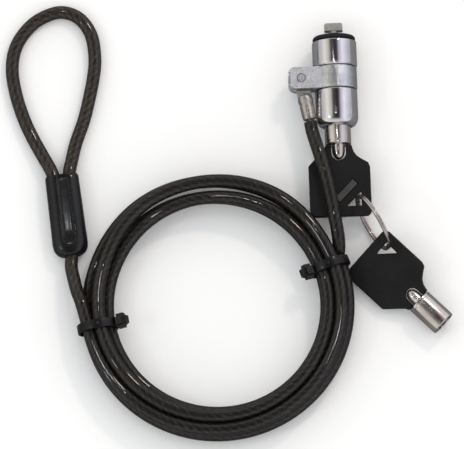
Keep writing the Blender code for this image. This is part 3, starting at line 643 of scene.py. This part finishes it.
def cable_material():
    """Clear smoked coat over a laid wire strand."""
    surf = Surface("smoked_cable")
    split = surf.node("ShaderNodeSeparateXYZ", Vector=surf.coords["UV"])
    around, along = split.outputs[0], split.outputs[1]
    twist = surf.math('ADD', around, surf.math('DIVIDE', along, STRAND_LAY))
    strand = surf.math('SINE', surf.math('MULTIPLY', twist, 2 * math.pi * STRANDS))
    strand = surf.math('ADD', surf.math('MULTIPLY', strand, 0.5), 0.5)
    # single wires lie at their own slant inside each strand
    wire_turn = surf.math('ADD', around, surf.math('DIVIDE', along, WIRE_LAY))
    wire_angle = surf.math('MULTIPLY', wire_turn, 2 * math.pi)
    wire_place = surf.node("ShaderNodeCombineXYZ")
    for index, operation in enumerate(('COSINE', 'SINE')):
        part = surf.math('MULTIPLY', surf.math(operation, wire_angle), 2.25)
        surf.put(wire_place.inputs[index], part)
    surf.put(wire_place.inputs[2], surf.math('MULTIPLY', along, 0.34))
    streak = surf.noise(scale=3.6, detail=5.0, rough=0.75, vector=wire_place.outputs[0])
    streak = surf.ramp(streak, [(0.40, 0.0), (0.62, 1.0)])
    # share of the strand relief and of the wire streaks
    rope = surf.math('ADD', surf.math('MULTIPLY', strand, 0.26),
                     surf.math('MULTIPLY', streak, 0.74))
    colour = surf.ramp(rope, [(0.0, (0.0018, 0.0016, 0.0015)), (0.38, (0.0062, 0.0054, 0.0048)),
                              (0.70, (0.0215, 0.0178, 0.0145)), (0.94, (0.062, 0.050, 0.038))])
    clouds = surf.noise(scale=60.0, detail=3.0)
    colour = surf.mix(surf.ramp(clouds, [(0.35, 0.0), (0.75, 0.5)]), colour,
                      (0.0060, 0.0050, 0.0044))
    # the first stretch of cable, round the eye loop, is made paler than the coil's
    loop = surf.ramp(surf.math('DIVIDE', along, 400.0), [(0.40, 0.75), (0.52, 0.0)])
    colour = surf.mix(loop, colour, (2.5, 2.3, 2.1), mode='MULTIPLY')
    relief = surf.bump(rope, strength=0.35, distance=0.0002)
    coat_relief = surf.bump(surf.noise(scale=260.0, detail=2.0), strength=0.10, distance=0.0002)
    coat_rough = surf.ramp(surf.noise(scale=500.0, detail=3.0), [(0.3, 0.018), (0.8, 0.05)])
    return surf.finish(Base_Color=colour, Metallic=0.0, Specular_IOR_Level=0.12, Roughness=0.40,
                       Normal=relief, Coat_Weight=0.60, Coat_Roughness=coat_rough, Coat_IOR=1.5,
                       Coat_Normal=coat_relief)


def plastic(name, dark, light, rough, grain, depth, coat=0.0, wear=0.0):
    """Clouded plastic with dust specks; grain is the noise scale and depth its height in metres."""
    surf = Surface(name)
    colour = surf.ramp(surf.noise(scale=90.0, detail=5.0), [(0.3, dark), (0.75, light)])
    dust = surf.ramp(surf.noise(scale=1400.0, detail=2.0, rough=0.7), [(0.62, 0.0), (0.74, 1.0)])
    colour = surf.mix(surf.math('MULTIPLY', dust, 0.25), colour,
                      brighter(light, gain=3.0, lift=0.01))
    if wear:
        colour = surf.mix(surf.math('MULTIPLY', surf.edge_wear(radius=0.25), wear), colour,
                          brighter(light, gain=4.0, lift=0.02))
    relief = surf.bump(surf.noise(scale=grain, detail=3.0, rough=0.6), strength=0.55,
                       distance=depth)
    roughness = surf.ramp(surf.noise(scale=300.0),
                          [(0.3, max(0.05, rough - 0.08)), (0.75, rough + 0.10)])
    return surf.finish(Base_Color=colour, Roughness=roughness, Normal=relief, Coat_Weight=coat,
                       Coat_Roughness=0.12, Specular_IOR_Level=0.22)


def metal(name, dark, light, rough, scratch, marks=0.0, pits_and_painted_light=0.0, wear=0.0, metallic=1.0):
    """Metal with fine scratches and cloudy roughness, and optional turning marks round the body,
    cast pitting with dark specks and painted glints (bright highlight specks painted into the
    colour), and worn edges."""
    surf = Surface(name)
    colour = surf.ramp(surf.noise(scale=140.0), [(0.30, dark), (0.75, light)])
    relief = None
    if marks:
        lines = surf.noise(scale=1.0, detail=3.0, rough=0.6, vector=surf.coords["UV"],
                           stretch=(3.0, 16.0, 1.0))
        relief = surf.bump(lines, strength=marks, distance=0.00006)
    lines = surf.noise(scale=1.0, detail=2.0, rough=0.5, stretch=(5200.0, 420.0, 2600.0))
    relief = surf.bump(surf.ramp(lines, [(0.60, 0.0), (0.72, 1.0)]), strength=scratch,
                       distance=0.00004, normal=relief)
    if pits_and_painted_light:
        relief = surf.bump(surf.noise(scale=2500.0, rough=0.7), strength=pits_and_painted_light,
                           distance=0.00016 + 0.0004 * max(0.0, pits_and_painted_light - 0.4), normal=relief)
        # dark specks painted into the colour at random, not lined up with the pit relief
        dark_specks = surf.ramp(surf.noise(scale=2300.0, detail=3.0, rough=0.8),
                            [(0.50, 0.0), (0.62, min(0.75, 1.1 * pits_and_painted_light))])
        colour = surf.mix(dark_specks, colour, tuple(c * 0.55 for c in dark))
        # painted glints: bright highlight specks painted into the colour
        painted_glints = surf.ramp(surf.noise(scale=2700.0, detail=3.0, rough=0.8),
                           [(0.55, 0.0), (0.66, min(0.8, pits_and_painted_light))])
        colour = surf.mix(painted_glints, colour, (0.88, 0.90, 0.93))
    if wear:
        colour = surf.mix(surf.math('MULTIPLY', surf.edge_wear(radius=0.3), wear), colour,
                          (0.92, 0.90, 0.86))
    roughness = surf.ramp(surf.noise(scale=420.0, detail=5.0, rough=0.6),
                          [(0.25, max(0.02, rough * 0.7)), (0.80, rough * 1.5 + 0.02)])
    return surf.finish(Base_Color=colour, Metallic=metallic, Roughness=roughness, Normal=relief)


CABLE_COAT = cable_material()
SLEEVE_PVC = plastic("sleeve_pvc_v", dark=(0.0034, 0.0036, 0.0040), light=(0.0085, 0.0090, 0.0092),
                     rough=0.30, grain=900.0, depth=0.00006, coat=0.30)
TIE_NYLON = plastic("tie_nylon_v", dark=(0.0026, 0.0026, 0.0029), light=(0.0055, 0.0055, 0.0060),
                    rough=0.34, grain=1500.0, depth=0.00005, coat=0.2, wear=0.2)
BOW_ABS = plastic("bow_abs_v", dark=(0.0050, 0.0052, 0.0060), light=(0.0095, 0.0098, 0.0108),
                  rough=0.50, grain=2600.0, depth=0.00012, wear=0.25)
BOW_INLAY = plastic("bow_inlay_v", dark=(0.034, 0.032, 0.029), light=(0.082, 0.077, 0.067),
                    rough=0.55, grain=2200.0, depth=0.00008)
RUBBER = plastic("bumper_rubber_v", dark=(0.008, 0.008, 0.010), light=(0.016, 0.016, 0.020),
                 rough=0.60, grain=1900.0, depth=0.00008)
CHROME = metal("chrome_v", dark=(0.70, 0.69, 0.70), light=(0.80, 0.79, 0.82), rough=0.060,
               scratch=0.05, marks=0.05)
CHROME_BAND = metal("chrome_band_v", dark=(0.56, 0.59, 0.61), light=(0.76, 0.79, 0.82), rough=0.16,
                    scratch=0.04, marks=0.03, pits_and_painted_light=0.55)
CAST_ZINC = metal("cast_zinc_v", dark=(0.48, 0.49, 0.51), light=(0.74, 0.76, 0.79), rough=0.28,
                  scratch=0.05, pits_and_painted_light=0.90, metallic=0.80)
NICKEL = metal("nickel_v", dark=(0.58, 0.53, 0.49), light=(0.74, 0.70, 0.67), rough=0.20,
               scratch=0.04, marks=0.03, pits_and_painted_light=0.02)
FERRULE_METAL = metal("ferrule_v", dark=(0.42, 0.39, 0.36), light=(0.60, 0.57, 0.54), rough=0.30,
                      scratch=0.06, marks=0.05, pits_and_painted_light=0.06)
TBAR_STEEL = metal("tbar_v", dark=(0.34, 0.335, 0.305), light=(0.50, 0.49, 0.455), rough=0.36,
                   scratch=0.18, pits_and_painted_light=0.40, wear=0.45, metallic=0.65)
RING_NICKEL = metal("ring_v", dark=(0.50, 0.45, 0.41), light=(0.68, 0.63, 0.60), rough=0.24,
                    scratch=0.06)
ROPE_STEEL = metal("rope_v", dark=(0.20, 0.18, 0.16), light=(0.42, 0.39, 0.36), rough=0.30,
                   scratch=0.10, pits_and_painted_light=0.10)
PIN_STEEL = metal("pin_v", dark=(0.62, 0.62, 0.63), light=(0.80, 0.80, 0.82), rough=0.34,
                  scratch=0.05, pits_and_painted_light=0.10)
RIVET_STEEL = metal("rivet_v", dark=(0.42, 0.43, 0.45), light=(0.66, 0.68, 0.71), rough=0.36,
                    scratch=0.05, pits_and_painted_light=0.30, metallic=0.80)
BRASS = metal("brass_v", dark=(0.55, 0.40, 0.16), light=(0.72, 0.56, 0.28), rough=0.24,
              scratch=0.10, pits_and_painted_light=0.10, wear=0.25)
ALUMINIUM = metal("alu_v", dark=(0.55, 0.55, 0.56), light=(0.70, 0.70, 0.71), rough=0.36,
                  scratch=0.12, pits_and_painted_light=0.18, wear=0.20)


# ---------------------------------------------------------------- carried-over CAD nodes
def paint(names, material):
    for name in names:
        materials = nodes[name].data.materials
        materials.clear()
        materials.append(material)


paint(["clevis_pin", "retaining_clip"]
      + [kind + "_%d" % k for kind in ("key_pin", "driver_pin", "pin_spring")
         for k in range(1, PIN_COUNT + 1)], PIN_STEEL)
paint(["lock_plug", "cylinder_body", "pin_stator"], BRASS)
paint(["loop_crimp_ferrule"], ALUMINIUM)

# ---------------------------------------------------------------- cable
bake("cable_jacket_skin", tube(fine_path(), JACKET_R, sides=24, rim=0.3, bore=MOUTH_BORE_R),
     CABLE_COAT, "cable", sharp=50, instead="cable_jacket")

ROPE_STRAND_R, ROPE_PITCH_R, ROPE_LAY = 0.46, 0.92, 9.0


def laid_rope(path):
    """Strands laid round a core, each strand round and closed."""
    def strand(line):
        return tube(line, ROPE_STRAND_R, sides=10, rim=0.12)

    path_frames, lengths = frames(path), path_lengths(path)
    parts = [strand(path)]
    for k in range(STRANDS):
        line = []
        for point, (side, up), length in zip(path, path_frames, lengths):
            angle = 2 * math.pi * (k / STRANDS + length / ROPE_LAY)
            line.append(point + (side * math.cos(angle) + up * math.sin(angle)) * ROPE_PITCH_R)
        parts.append(strand(line))
    return join(parts)


dead_end = straight(in_sleeve(2.5, 16.0), in_sleeve(2.5, 5.0), 26)
live_end = straight(along_ferrule(19.0), along_ferrule(8.6), 24)
bake("wire_rope_ends", join([laid_rope(dead_end), laid_rope(live_end)]), ROPE_STEEL, "cable",
     sharp=60, instead="wire_rope")

# ---------------------------------------------------------------- loop sleeve
# stations are (distance from the mouth, half width, half height, superellipse power)
SLEEVE_MOUTH = [(0.0, 5.45, 3.35, 2.5), (0.05, 5.65, 3.6, 2.5), (0.35, 5.86, 3.8, 2.55),
                (0.9, 6.00, 3.93, 2.6)]
SLEEVE_LINING = [(30.0, 2.75, 2.66, 2.0), (29.7, 2.5, 2.5, 2.0), (26.0, 2.6, 2.6, 2.0),
                 (20.0, 5.45, 2.95, 2.6), (0.7, 5.58, 2.95, 2.6), (0.2, 5.50, 3.0, 2.6)]
PANEL_DEPTH, LOBE_RISE, LOBE_X, PARTING_RISE = 0.42, 0.06, 3.7, 0.05


def sleeve_skin():
    """Moulded sleeve: two round lobes, a sunk panel between them, a rolled mouth, a domed outlet."""
    stations = list(SLEEVE_MOUTH)
    for i in range(1, 19):
        t = i / 18
        stations.append((0.9 + t * 24.0, 6.00 + 0.33 * t,
                         3.93 + 0.14 * math.sin(math.pi * t) + 0.12 * t, 2.6))
    for i in range(1, 15):
        t = i / 14
        angle = t * math.pi / 2
        fall = 1 - math.cos(angle)
        stations.append((24.9 + 5.0 * math.sin(angle), 6.33 - 3.35 * fall ** 1.15,
                         4.05 - 1.25 * fall, 2.6 - 0.6 * t))
    outer_count = len(stations)
    stations += SLEEVE_LINING
    solid = bmesh.new()
    rings = []
    for i, (depth, half_w, half_h, power) in enumerate(stations):
        ring = []
        for x, z in oval(half_w, half_h, 112, power):
            if i < outer_count:
                across = 1 - smoothstep(1.3, 2.5, abs(x))
                along = smoothstep(0.2, 1.0, depth) * (1 - smoothstep(21.5, 26.5, depth))
                if abs(z) > 1.0:
                    z -= math.copysign(PANEL_DEPTH * across * along, z)
                lobe = math.exp(-((abs(x) - LOBE_X) / 1.1) ** 2)
                if abs(z) > 1.0:
                    z += math.copysign(LOBE_RISE * lobe * along, z)
                x += math.copysign(math.exp(-(z / 0.14) ** 2) * PARTING_RISE, x)
            ring.append(solid.verts.new((x, -depth, z)))
        rings.append(ring)
    bridge(solid, rings, wrap=True)
    return solid


bake("loop_sleeve_moulding", sleeve_skin(), SLEEVE_PVC, "cable", SLEEVE, sharp=50,
     instead="loop_sleeve")


# ---------------------------------------------------------------- cable ties
def tie_strap():
    """Closed band with a shallow groove outside and fine teeth inside."""
    sides, half_w, outer = 144, TIE_W / 2, TIE_R_IN + TIE_THICK
    section = fillet(corners(TIE_R_IN, outer, -half_w, half_w), 0.22)
    solid = bmesh.new()
    rings = []
    for k in range(sides):
        angle = 2 * math.pi * k / sides
        ring = []
        for radius, y in section:
            middle = math.exp(-(y / (half_w * 0.5)) ** 4)
            groove = 0.10 * middle if radius > outer - 0.05 else 0.0
            teeth = 0.0
            if radius < TIE_R_IN + 0.05:
                teeth = 0.05 * (1 + math.sin(angle * 62)) * middle
            cut = radius - groove + teeth
            ring.append(solid.verts.new((cut * math.cos(angle), y, cut * math.sin(angle))))
        rings.append(ring)
    bridge(solid, rings, wrap=True)
    return solid


def tie(name, theta, node):
    """Tie round the bundle, theta degrees round the coil."""
    place = shift(COIL_X, COIL_Y, COIL_Z) @ turn(theta, 'Z') @ shift(COIL_R, 0, 0)
    raised = place @ turn(TIE_HEAD_RAISE, 'Y')
    face_x = -(TIE_R_IN + 0.15)        # the head's face towards the strap
    head = bake(name, soft_box(face_x - TIE_HEAD_LEN, face_x + 0.1, -2.65, 2.65, -2.4, 2.4,
                               radius=1.25, segments=7), TIE_NYLON, None, raised)
    carve(head, box(face_x - 3.4, face_x - 1.9, -1.75, 1.75, -4.0, -0.6), raised)
    bake(name + "_strap", tie_strap(), TIE_NYLON, "cable", place, sharp=40, instead=node)
    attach(head, "cable")
    for part, sizes in (("_cut_end", (face_x - 3.2, face_x - 2.45, -1.5, 1.5, -2.9, -0.9)),
                        ("_pawl", (face_x - 3.3, face_x - 2.15, -1.25, 1.25, -2.25, -1.6))):
        bake(name + part, soft_box(*sizes, radius=0.12, segments=2), TIE_NYLON, "cable", raised)


tie("tie_left_head", 190.2, "cable_tie_left")
tie("tie_right_head", 19.9, "cable_tie_right")

# ---------------------------------------------------------------- end ferrule
EYE_HALF_W, EYE_END, EYE_HALF_T, EYE_HOLE_R = 2.5, -6.6, 1.3, 1.65
tongue = rounded([(-EYE_HALF_W, EYE_HALF_W), (-EYE_HALF_W, EYE_END), (EYE_HALF_W, EYE_END),
                  (EYE_HALF_W, EYE_HALF_W)], [2.45, 0, 0, 2.45], 12)
ferrule_eye = bake("end_ferrule_eye", prism(tongue, -EYE_HALF_T, EYE_HALF_T), FERRULE_METAL,
                   "cable", FERRULE, bevel=0.22, instead="end_ferrule")
carve(ferrule_eye, rod(EYE_HOLE_R, 3, -3, 48), FERRULE @ ACROSS)

# (radius, y) profile, with three ribs along the swaged length
swage = [(0, -5.6), (1.9, -5.6), (2.5, -6.2), (2.72, -7.2), (2.72, -8.5), (2.45, -8.95),
         (2.45, -9.35), (2.62, -9.8)]
for k in range(3):
    rib_y, taper = -10.3 - 1.35 * k, 0.05 * k
    swage += [(2.58 - taper, rib_y), (2.54 - taper, rib_y - 0.3), (2.54 - taper, rib_y - 0.6),
              (2.56 - taper, rib_y - 0.9)]
swage += [(2.38, -14.3), (2.25, -14.9), (1.6, -14.9), (1.6, -8.2), (0, -8.2)]
bake("end_ferrule_swage", turned(swage, 72, 0.16), FERRULE_METAL, "cable", FERRULE)

# ---------------------------------------------------------------- yoke
YOKE_RING = [(RING_R - 0.12, -RING_START), (RING_R, -RING_START - 0.35),
             (RING_R, -RING_END + 0.35), (RING_R - 0.12, -RING_END),
             (6.15, -RING_END), (6.15, -RING_START)]
bake("yoke_ring", turned(YOKE_RING, 144, 0.3, 4), CHROME_BAND, "yoke", LOCK,
     instead="swivel_yoke")

ARM_Y = -(RING_START + RING_END) / 2
ARM_ROOT_X, ARM_TIP_X = -4.3, PIN_X - 4.65
ARM_HALF_W, ARM_HALF_H = 3.93, 3.88
BARREL_CLEAR_R = 6.9
FORK_END_X, FORK_HALF_GAP = -8.75, 1.6
NOTCH_END_X, NOTCH_HALF_W = PIN_X - 3.85, 2.2
arm_outline = rounded([(ARM_ROOT_X, ARM_Y - ARM_HALF_W), (ARM_ROOT_X, ARM_Y + ARM_HALF_W),
                       (ARM_TIP_X, ARM_Y + ARM_HALF_W), (ARM_TIP_X, ARM_Y - ARM_HALF_W)],
                      [0, 0, 2.5, 2.5], 10)
arm = bake("yoke_arm", prism(arm_outline, PIN_Z - ARM_HALF_H, PIN_Z + ARM_HALF_H), CAST_ZINC,
           "yoke", LOCK, bevel=0.38, segments=4)
carve(arm, rod(BARREL_CLEAR_R, -RING_START + 2, -RING_END - 2, 96), LOCK)
carve(arm, box(PIN_X - 8, FORK_END_X, ARM_Y - 6, ARM_Y + 6,
               PIN_Z - FORK_HALF_GAP, PIN_Z + FORK_HALF_GAP), LOCK)
# notch in the tip of the upper cheek
notch_outline = rounded(corners(PIN_X - 6, NOTCH_END_X, ARM_Y - NOTCH_HALF_W, ARM_Y + NOTCH_HALF_W),
                        [0, 0.4, 0.4, 0], 4)
carve(arm, prism(notch_outline, PIN_Z + 1.0, PIN_Z + 6), LOCK)
carve(arm, rod(1.62, 6, -6, 48), PIVOT @ ACROSS)

# (radius, y) profile
RIVET = [(0, -4.0), (1.05, -4.0), (1.45, -3.7), (1.45, -3.45), (1.35, -3.3), (1.35, 3.3),
         (1.45, 3.45), (1.45, 3.7), (1.25, 4.02), (0.55, 4.02), (0.4, 3.85), (0, 3.85)]
bake("clevis_rivet", turned(RIVET, 48, 0.1), RIVET_STEEL, "yoke", PIVOT @ ACROSS,
     instead="clevis_pin")

# ---------------------------------------------------------------- shells
# (radius, y) profiles
BUMPER = [(2.5, 0), (6.4, 0), (7.2, -0.25), (7.62, -0.7), (7.72, -1.15), (7.70, -1.40),
          (7.45, -BUMPER_LEN), (2.5, -BUMPER_LEN)]
bake("nose_bumper_pad", turned(BUMPER, 96, 0.25, 4), RUBBER, "shell", LOCK,
     instead="nose_bumper")

# a fine groove runs round the shell near its end
UPPER_SHELL = [(2.45, -UPPER_START), (7.55, -UPPER_START), (7.95, -2.35), (UPPER_R, -2.7),
               (UPPER_R, -10.6), (7.93, -10.72), (7.93, -10.84), (UPPER_R, -10.96),
               (UPPER_R, -11.2), (7.6, -UPPER_END), (7.0, -UPPER_END), (7.0, -3.2), (2.45, -3.2)]
bake("upper_shell_turned", turned(UPPER_SHELL, 144, 0.28, 4), CHROME, "shell", LOCK,
     instead="upper_shell")

lower_shell = [(LOWER_R - 0.3, -LOWER_START), (LOWER_R, -LOWER_START - 0.35)]
for k in range(15):
    angle = k / 14 * math.radians(80)
    lower_shell.append((LOWER_R - 2.25 * (1 - math.cos(angle)), -DOME_START - 3.5 * math.sin(angle)))
lower_shell += [(5.35, -HEAD_END), (5.0, -HEAD_END), (5.0, -30.0), (6.2, -30.0),
                (6.2, -LOWER_START)]
bake("lower_shell_turned", turned(lower_shell, 144, 0.3), CHROME, "shell", LOCK,
     instead="lower_shell")

# ---------------------------------------------------------------- T-bar
T_BAR_OUTLINE = rounded(corners(-3.3, 3.3, 1.9, 4.85), [0.25, 0.25, 0.85, 0.85], 6)
bake("t_bar_head", prism(T_BAR_OUTLINE, -1.6, 1.6), TBAR_STEEL, "core", LOCK, bevel=0.28,
     segments=3, instead="t_bar")
# (radius, y) profile
T_BAR_STEM = [(0, 2.3), (1.5, 2.3), (1.5, 1.4), (2.1, 0.9), (2.1, -3.42), (1.6, -3.42),
              (1.6, -4.18), (1.8, -4.18), (1.8, -4.9), (1.3, -4.9), (1.3, -2.3), (0, -2.3)]
bake("t_bar_stem", turned(T_BAR_STEM, 48, 0.1), TBAR_STEEL, "core", LOCK)

# ---------------------------------------------------------------- keys
# (radius, y) profile: a blunt boss into the bow, then the open tube
KEY_TUBE = [(0, -5.3), (0.5, -5.24), (0.95, -5.02), (1.35, -4.7), (1.68, -4.3), (1.95, -3.8),
            (2.13, -3.2), (2.25, -2.5), (2.3, -1.8), (2.3, 0.0), (4.40, 0.0), (KEY_TUBE_R, 0.3),
            (KEY_TUBE_R, 1.0), (4.62, 1.15), (4.62, 1.4), (KEY_TUBE_R, 1.55),
            (KEY_TUBE_R, KEY_TUBE_LEN - 0.3), (KEY_TUBE_R - 0.25, KEY_TUBE_LEN),
            (KEY_TUBE_IN + 0.1, KEY_TUBE_LEN), (KEY_TUBE_IN, KEY_TUBE_LEN - 0.12),
            (KEY_TUBE_IN, 1.2), (0, 1.2)]
NOTCH_DEPTHS = (0.5, 1.1, 0.7, 1.3, 0.9, 1.2, 0.6)
# bow corners as (x, y, corner radius)
BOW_CORNERS = [(-BOW_W / 2, -BOW_L, 2.6), (BOW_W / 2, -BOW_L, 2.0), (BOW_W / 2, -8.6, 0.7),
               (10.5, -6.9, 0.5), (8.3, -5.6, 0.5), (6.6, -4.4, 0.5), (5.5, -2.9, 0.5),
               (5.0, -1.4, 0.5), (4.75, -0.3, 0.25), (-4.75, -0.3, 0.25), (-5.2, -1.5, 0.6),
               (-BOW_W / 2, -7.7, 0.9)]
BOSS_SLOT_R, BOSS_SLOT_Y = 2.6, -3.05  # round-ended slot in the bow for the boss


def key_tube(name, place, body):
    tube_obj = bake(name + "_tube_turned", turned(KEY_TUBE, 96, 0.14), NICKEL, body, place,
                    instead=name + "_tube")
    for k, depth in enumerate(NOTCH_DEPTHS):
        at = place @ turn(-(90 + 45 * (k + 1)), 'Y') @ shift(KEY_TUBE_IN + 0.4, 0, 0)
        outline = [(-1.6, KEY_TUBE_LEN + 1.0), (-1.6, KEY_TUBE_LEN - depth),
                   (0.05, KEY_TUBE_LEN - depth), (0.05, KEY_TUBE_LEN + 1.0)]
        carve(tube_obj, prism(outline, -0.75, 0.75), at)
    # rolled seam on the reverse side
    carve(tube_obj, box(0.12, 0.40, -1.0, KEY_TUBE_LEN + 1,
                        -KEY_TUBE_R - 1, -KEY_TUBE_R + 0.13), place)


def key_bow(name, place, body):
    plan = rounded([(x, y) for x, y, _ in BOW_CORNERS], [radius for _, _, radius in BOW_CORNERS], 8)
    bow = bake(name + "_bow_moulding", prism(plan, -BOW_T / 2, BOW_T / 2), BOW_ABS, body, place,
               bevel=0.34, segments=3, instead=name + "_bow")
    boss_slot = [(-BOSS_SLOT_R, 1.0)]
    for k in range(25):
        angle = math.pi + math.pi * k / 24
        boss_slot.append((BOSS_SLOT_R * math.cos(angle),
                          BOSS_SLOT_Y + BOSS_SLOT_R * math.sin(angle)))
    boss_slot.append((BOSS_SLOT_R, 1.0))
    carve(bow, prism(boss_slot, -3, 3), place)
    ring_hole = rounded([(HOLE_V, -HOLE_U), (HOLE_V, -HOLE_U + HOLE_LEG),
                         (HOLE_V - HOLE_LEG, -HOLE_U)], [0.5, 0.25, 0.25], 6)
    carve(bow, prism(ring_hole, -3, 3), place)
    # slanting bar let into a recess in the bow's face
    bar_place = place @ shift(2.2, -17.1, 0) @ turn(45, 'Z')
    recess = rounded(corners(-4.9, 4.9, -1.45, 1.45), 0.3, 4)
    carve(bow, prism(recess, BOW_T / 2 - 0.7, BOW_T / 2 + 1), bar_place)
    inlay = rounded(corners(-4.65, 4.65, -1.2, 1.2), 0.35, 4)
    bake(name + "_inlay_bar", prism(inlay, BOW_T / 2 - 0.5, BOW_T / 2 - 0.03), BOW_INLAY, body,
         bar_place, bevel=0.12, instead=name + "_inlay")


for key_name, key_place in (("key_1", KEY_1), ("key_2", KEY_2)):
    key_tube(key_name, key_place, key_name)
    key_bow(key_name, key_place, key_name)


# ---------------------------------------------------------------- split ring
def split_ring():
    """Flat wire wound nearly twice round; it crosses to its second layer in the middle."""
    step, steps = 2.5, 280
    half_w, half_t = KEYRING_W / 2, KEYRING_T / 4 - 0.02
    section = fillet(corners(-half_w, half_w, -half_t, half_t), 0.26)
    solid = bmesh.new()
    rings = []
    for i in range(steps + 1):
        wound = i * step
        angle = math.radians(wound + 40.0)
        lift = -KEYRING_T / 4 + KEYRING_T / 2 * smoothstep(310, 390, wound)
        taper = 1.0 - 0.35 * (1 - smoothstep(0, 12, min(wound, steps * step - wound)))
        rings.append([solid.verts.new(((KEYRING_R + out * taper) * math.cos(angle),
                                       (KEYRING_R + out * taper) * math.sin(angle),
                                       lift + z * taper)) for out, z in section])
    bridge(solid, rings)
    solid.faces.new(rings[0])
    solid.faces.new(rings[-1])
    return solid


bake("split_ring_wire", split_ring(), RING_NICKEL, "ring", RING_FRAME, sharp=50,
     instead="split_ring")

# ---------------------------------------------------------------- floor
FLOOR_HALF, FLOOR_Z = 1500.0, -0.02


def floor_material():
    """Pale paper; seen in polished metal it is dark grey, a painted darkening of its reflection."""
    surf = Surface("floor_paper_v")
    paper = surf.ramp(surf.noise(scale=6.0), [(0.3, (0.90, 0.90, 0.90)), (0.8, (0.94, 0.94, 0.94))])
    grain = surf.bump(surf.noise(scale=900.0, detail=3.0), strength=0.05, distance=0.0001)
    # painted shade: glossy rays see the floor dark grey while the paper itself stays pale
    glossy = surf.node("ShaderNodeLightPath").outputs["Is Glossy Ray"]
    return surf.finish(Base_Color=surf.mix(glossy, paper, (0.20, 0.20, 0.205)), Roughness=0.85,
                       Normal=grain)


sheet = bmesh.new()
bmesh.ops.create_grid(sheet, x_segments=24, y_segments=24, size=FLOOR_HALF)
for vert in sheet.verts:
    vert.co.z = FLOOR_Z
bake("floor", sheet, floor_material(), None)

# ---------------------------------------------------------------- world
# (position from -X to +X, colour): a dark room overhead between two bright side panels
ROOM_STRIPES = [(0.00, (0.50, 0.50, 0.53)), (0.10, (0.95, 0.93, 0.84)), (0.24, (0.62, 0.60, 0.54)),
                (0.34, (0.10, 0.09, 0.09)), (0.50, (0.030, 0.022, 0.022)),
                (0.60, (0.07, 0.06, 0.08)), (0.68, (0.55, 0.53, 0.62)), (0.82, (1.05, 1.03, 1.15)),
                (0.93, (0.75, 0.74, 0.82)), (1.00, (0.45, 0.45, 0.48))]
# how far the pale -Y and +Y ends cover the stripes
ROOM_ENDS = [(0.0, 0.0), (0.45, 0.0), (0.75, 0.8), (1.0, 1.0)]


def build_world():
    """Plain white light, with a striped room seen only in reflections."""
    world = bpy.data.worlds.new("studio")
    bpy.context.scene.world = world
    world.use_nodes = True
    world.node_tree.nodes.clear()
    sky = Shader(world.node_tree)
    output = sky.node("ShaderNodeOutputWorld")
    coords = sky.node("ShaderNodeTexCoord")
    direction = sky.node("ShaderNodeSeparateXYZ", Vector=coords.outputs["Generated"])
    stripes = sky.ramp(sky.math('MULTIPLY_ADD', direction.outputs[0], 0.5, 0.5), ROOM_STRIPES)
    ends = sky.ramp(sky.math('ABSOLUTE', direction.outputs[1], None), ROOM_ENDS)
    room = sky.mix(ends, stripes, (0.80, 0.80, 0.82))
    shiny = sky.node("ShaderNodeBackground", Color=room)
    plain = sky.node("ShaderNodeBackground", Color=(1.0, 1.0, 1.0, 1.0), Strength=1.02)
    glossy = sky.node("ShaderNodeLightPath").outputs["Is Glossy Ray"]
    pick = sky.node("ShaderNodeMixShader")
    for socket, value in zip(pick.inputs, (glossy, plain.outputs[0], shiny.outputs[0])):
        sky.put(socket, value)
    sky.put(output.inputs["Surface"], pick.outputs[0])


build_world()


# ---------------------------------------------------------------- lights
def area(name, location, size, power, color):
    """Square lamp aimed at the origin; metres and watts."""
    data = bpy.data.lights.new(name, 'AREA')
    data.shape = 'RECTANGLE'
    data.size = data.size_y = size
    data.energy = power
    data.color = color
    lamp = bpy.data.objects.new(name, data)
    bpy.context.scene.collection.objects.link(lamp)
    lamp.location = location
    lamp.rotation_euler = (-Vector(location)).to_track_quat('-Z', 'Y').to_euler()


area("key_light", location=(0.42, 0.62, 0.80), size=0.08, power=1.5, color=(1.0, 0.88, 0.76))
area("left_lamp", location=(-0.70, -0.25, 0.80), size=0.07, power=0.6, color=(0.80, 0.90, 1.0))
area("flash_light", location=(-0.08, 0.21, 1.09), size=0.022, power=0.30, color=(0.93, 0.97, 1.0))

# ---------------------------------------------------------------- camera
CAMERA_DISTANCE = 6.0                  # metres
CAMERA_ELEVATION = 77.0                # degrees above the floor, on the -Y side
VIEW_WIDTH = 0.16704                   # metres across the view at the object
SENSOR_WIDTH = 36.0
LOOK_X = 0.55                          # mm, before the origin shift

camera_data = bpy.data.cameras.new("camera")
camera = bpy.data.objects.new("camera", camera_data)
bpy.context.scene.collection.objects.link(camera)
elevation = math.radians(CAMERA_ELEVATION)
look_at = Vector(((LOOK_X + ORIGIN_SHIFT.x) * MM_TO_M, ORIGIN_SHIFT.y * MM_TO_M, 0.0))
camera.location = look_at + Vector((0, -math.cos(elevation), math.sin(elevation))) * CAMERA_DISTANCE
camera.rotation_euler = (math.radians(90.0 - CAMERA_ELEVATION), 0, 0)
camera_data.lens = SENSOR_WIDTH * CAMERA_DISTANCE / VIEW_WIDTH
camera_data.clip_start = 0.1
camera_data.clip_end = 100.0
bpy.context.scene.camera = camera
bpy.context.scene.view_settings.view_transform = 'Standard'
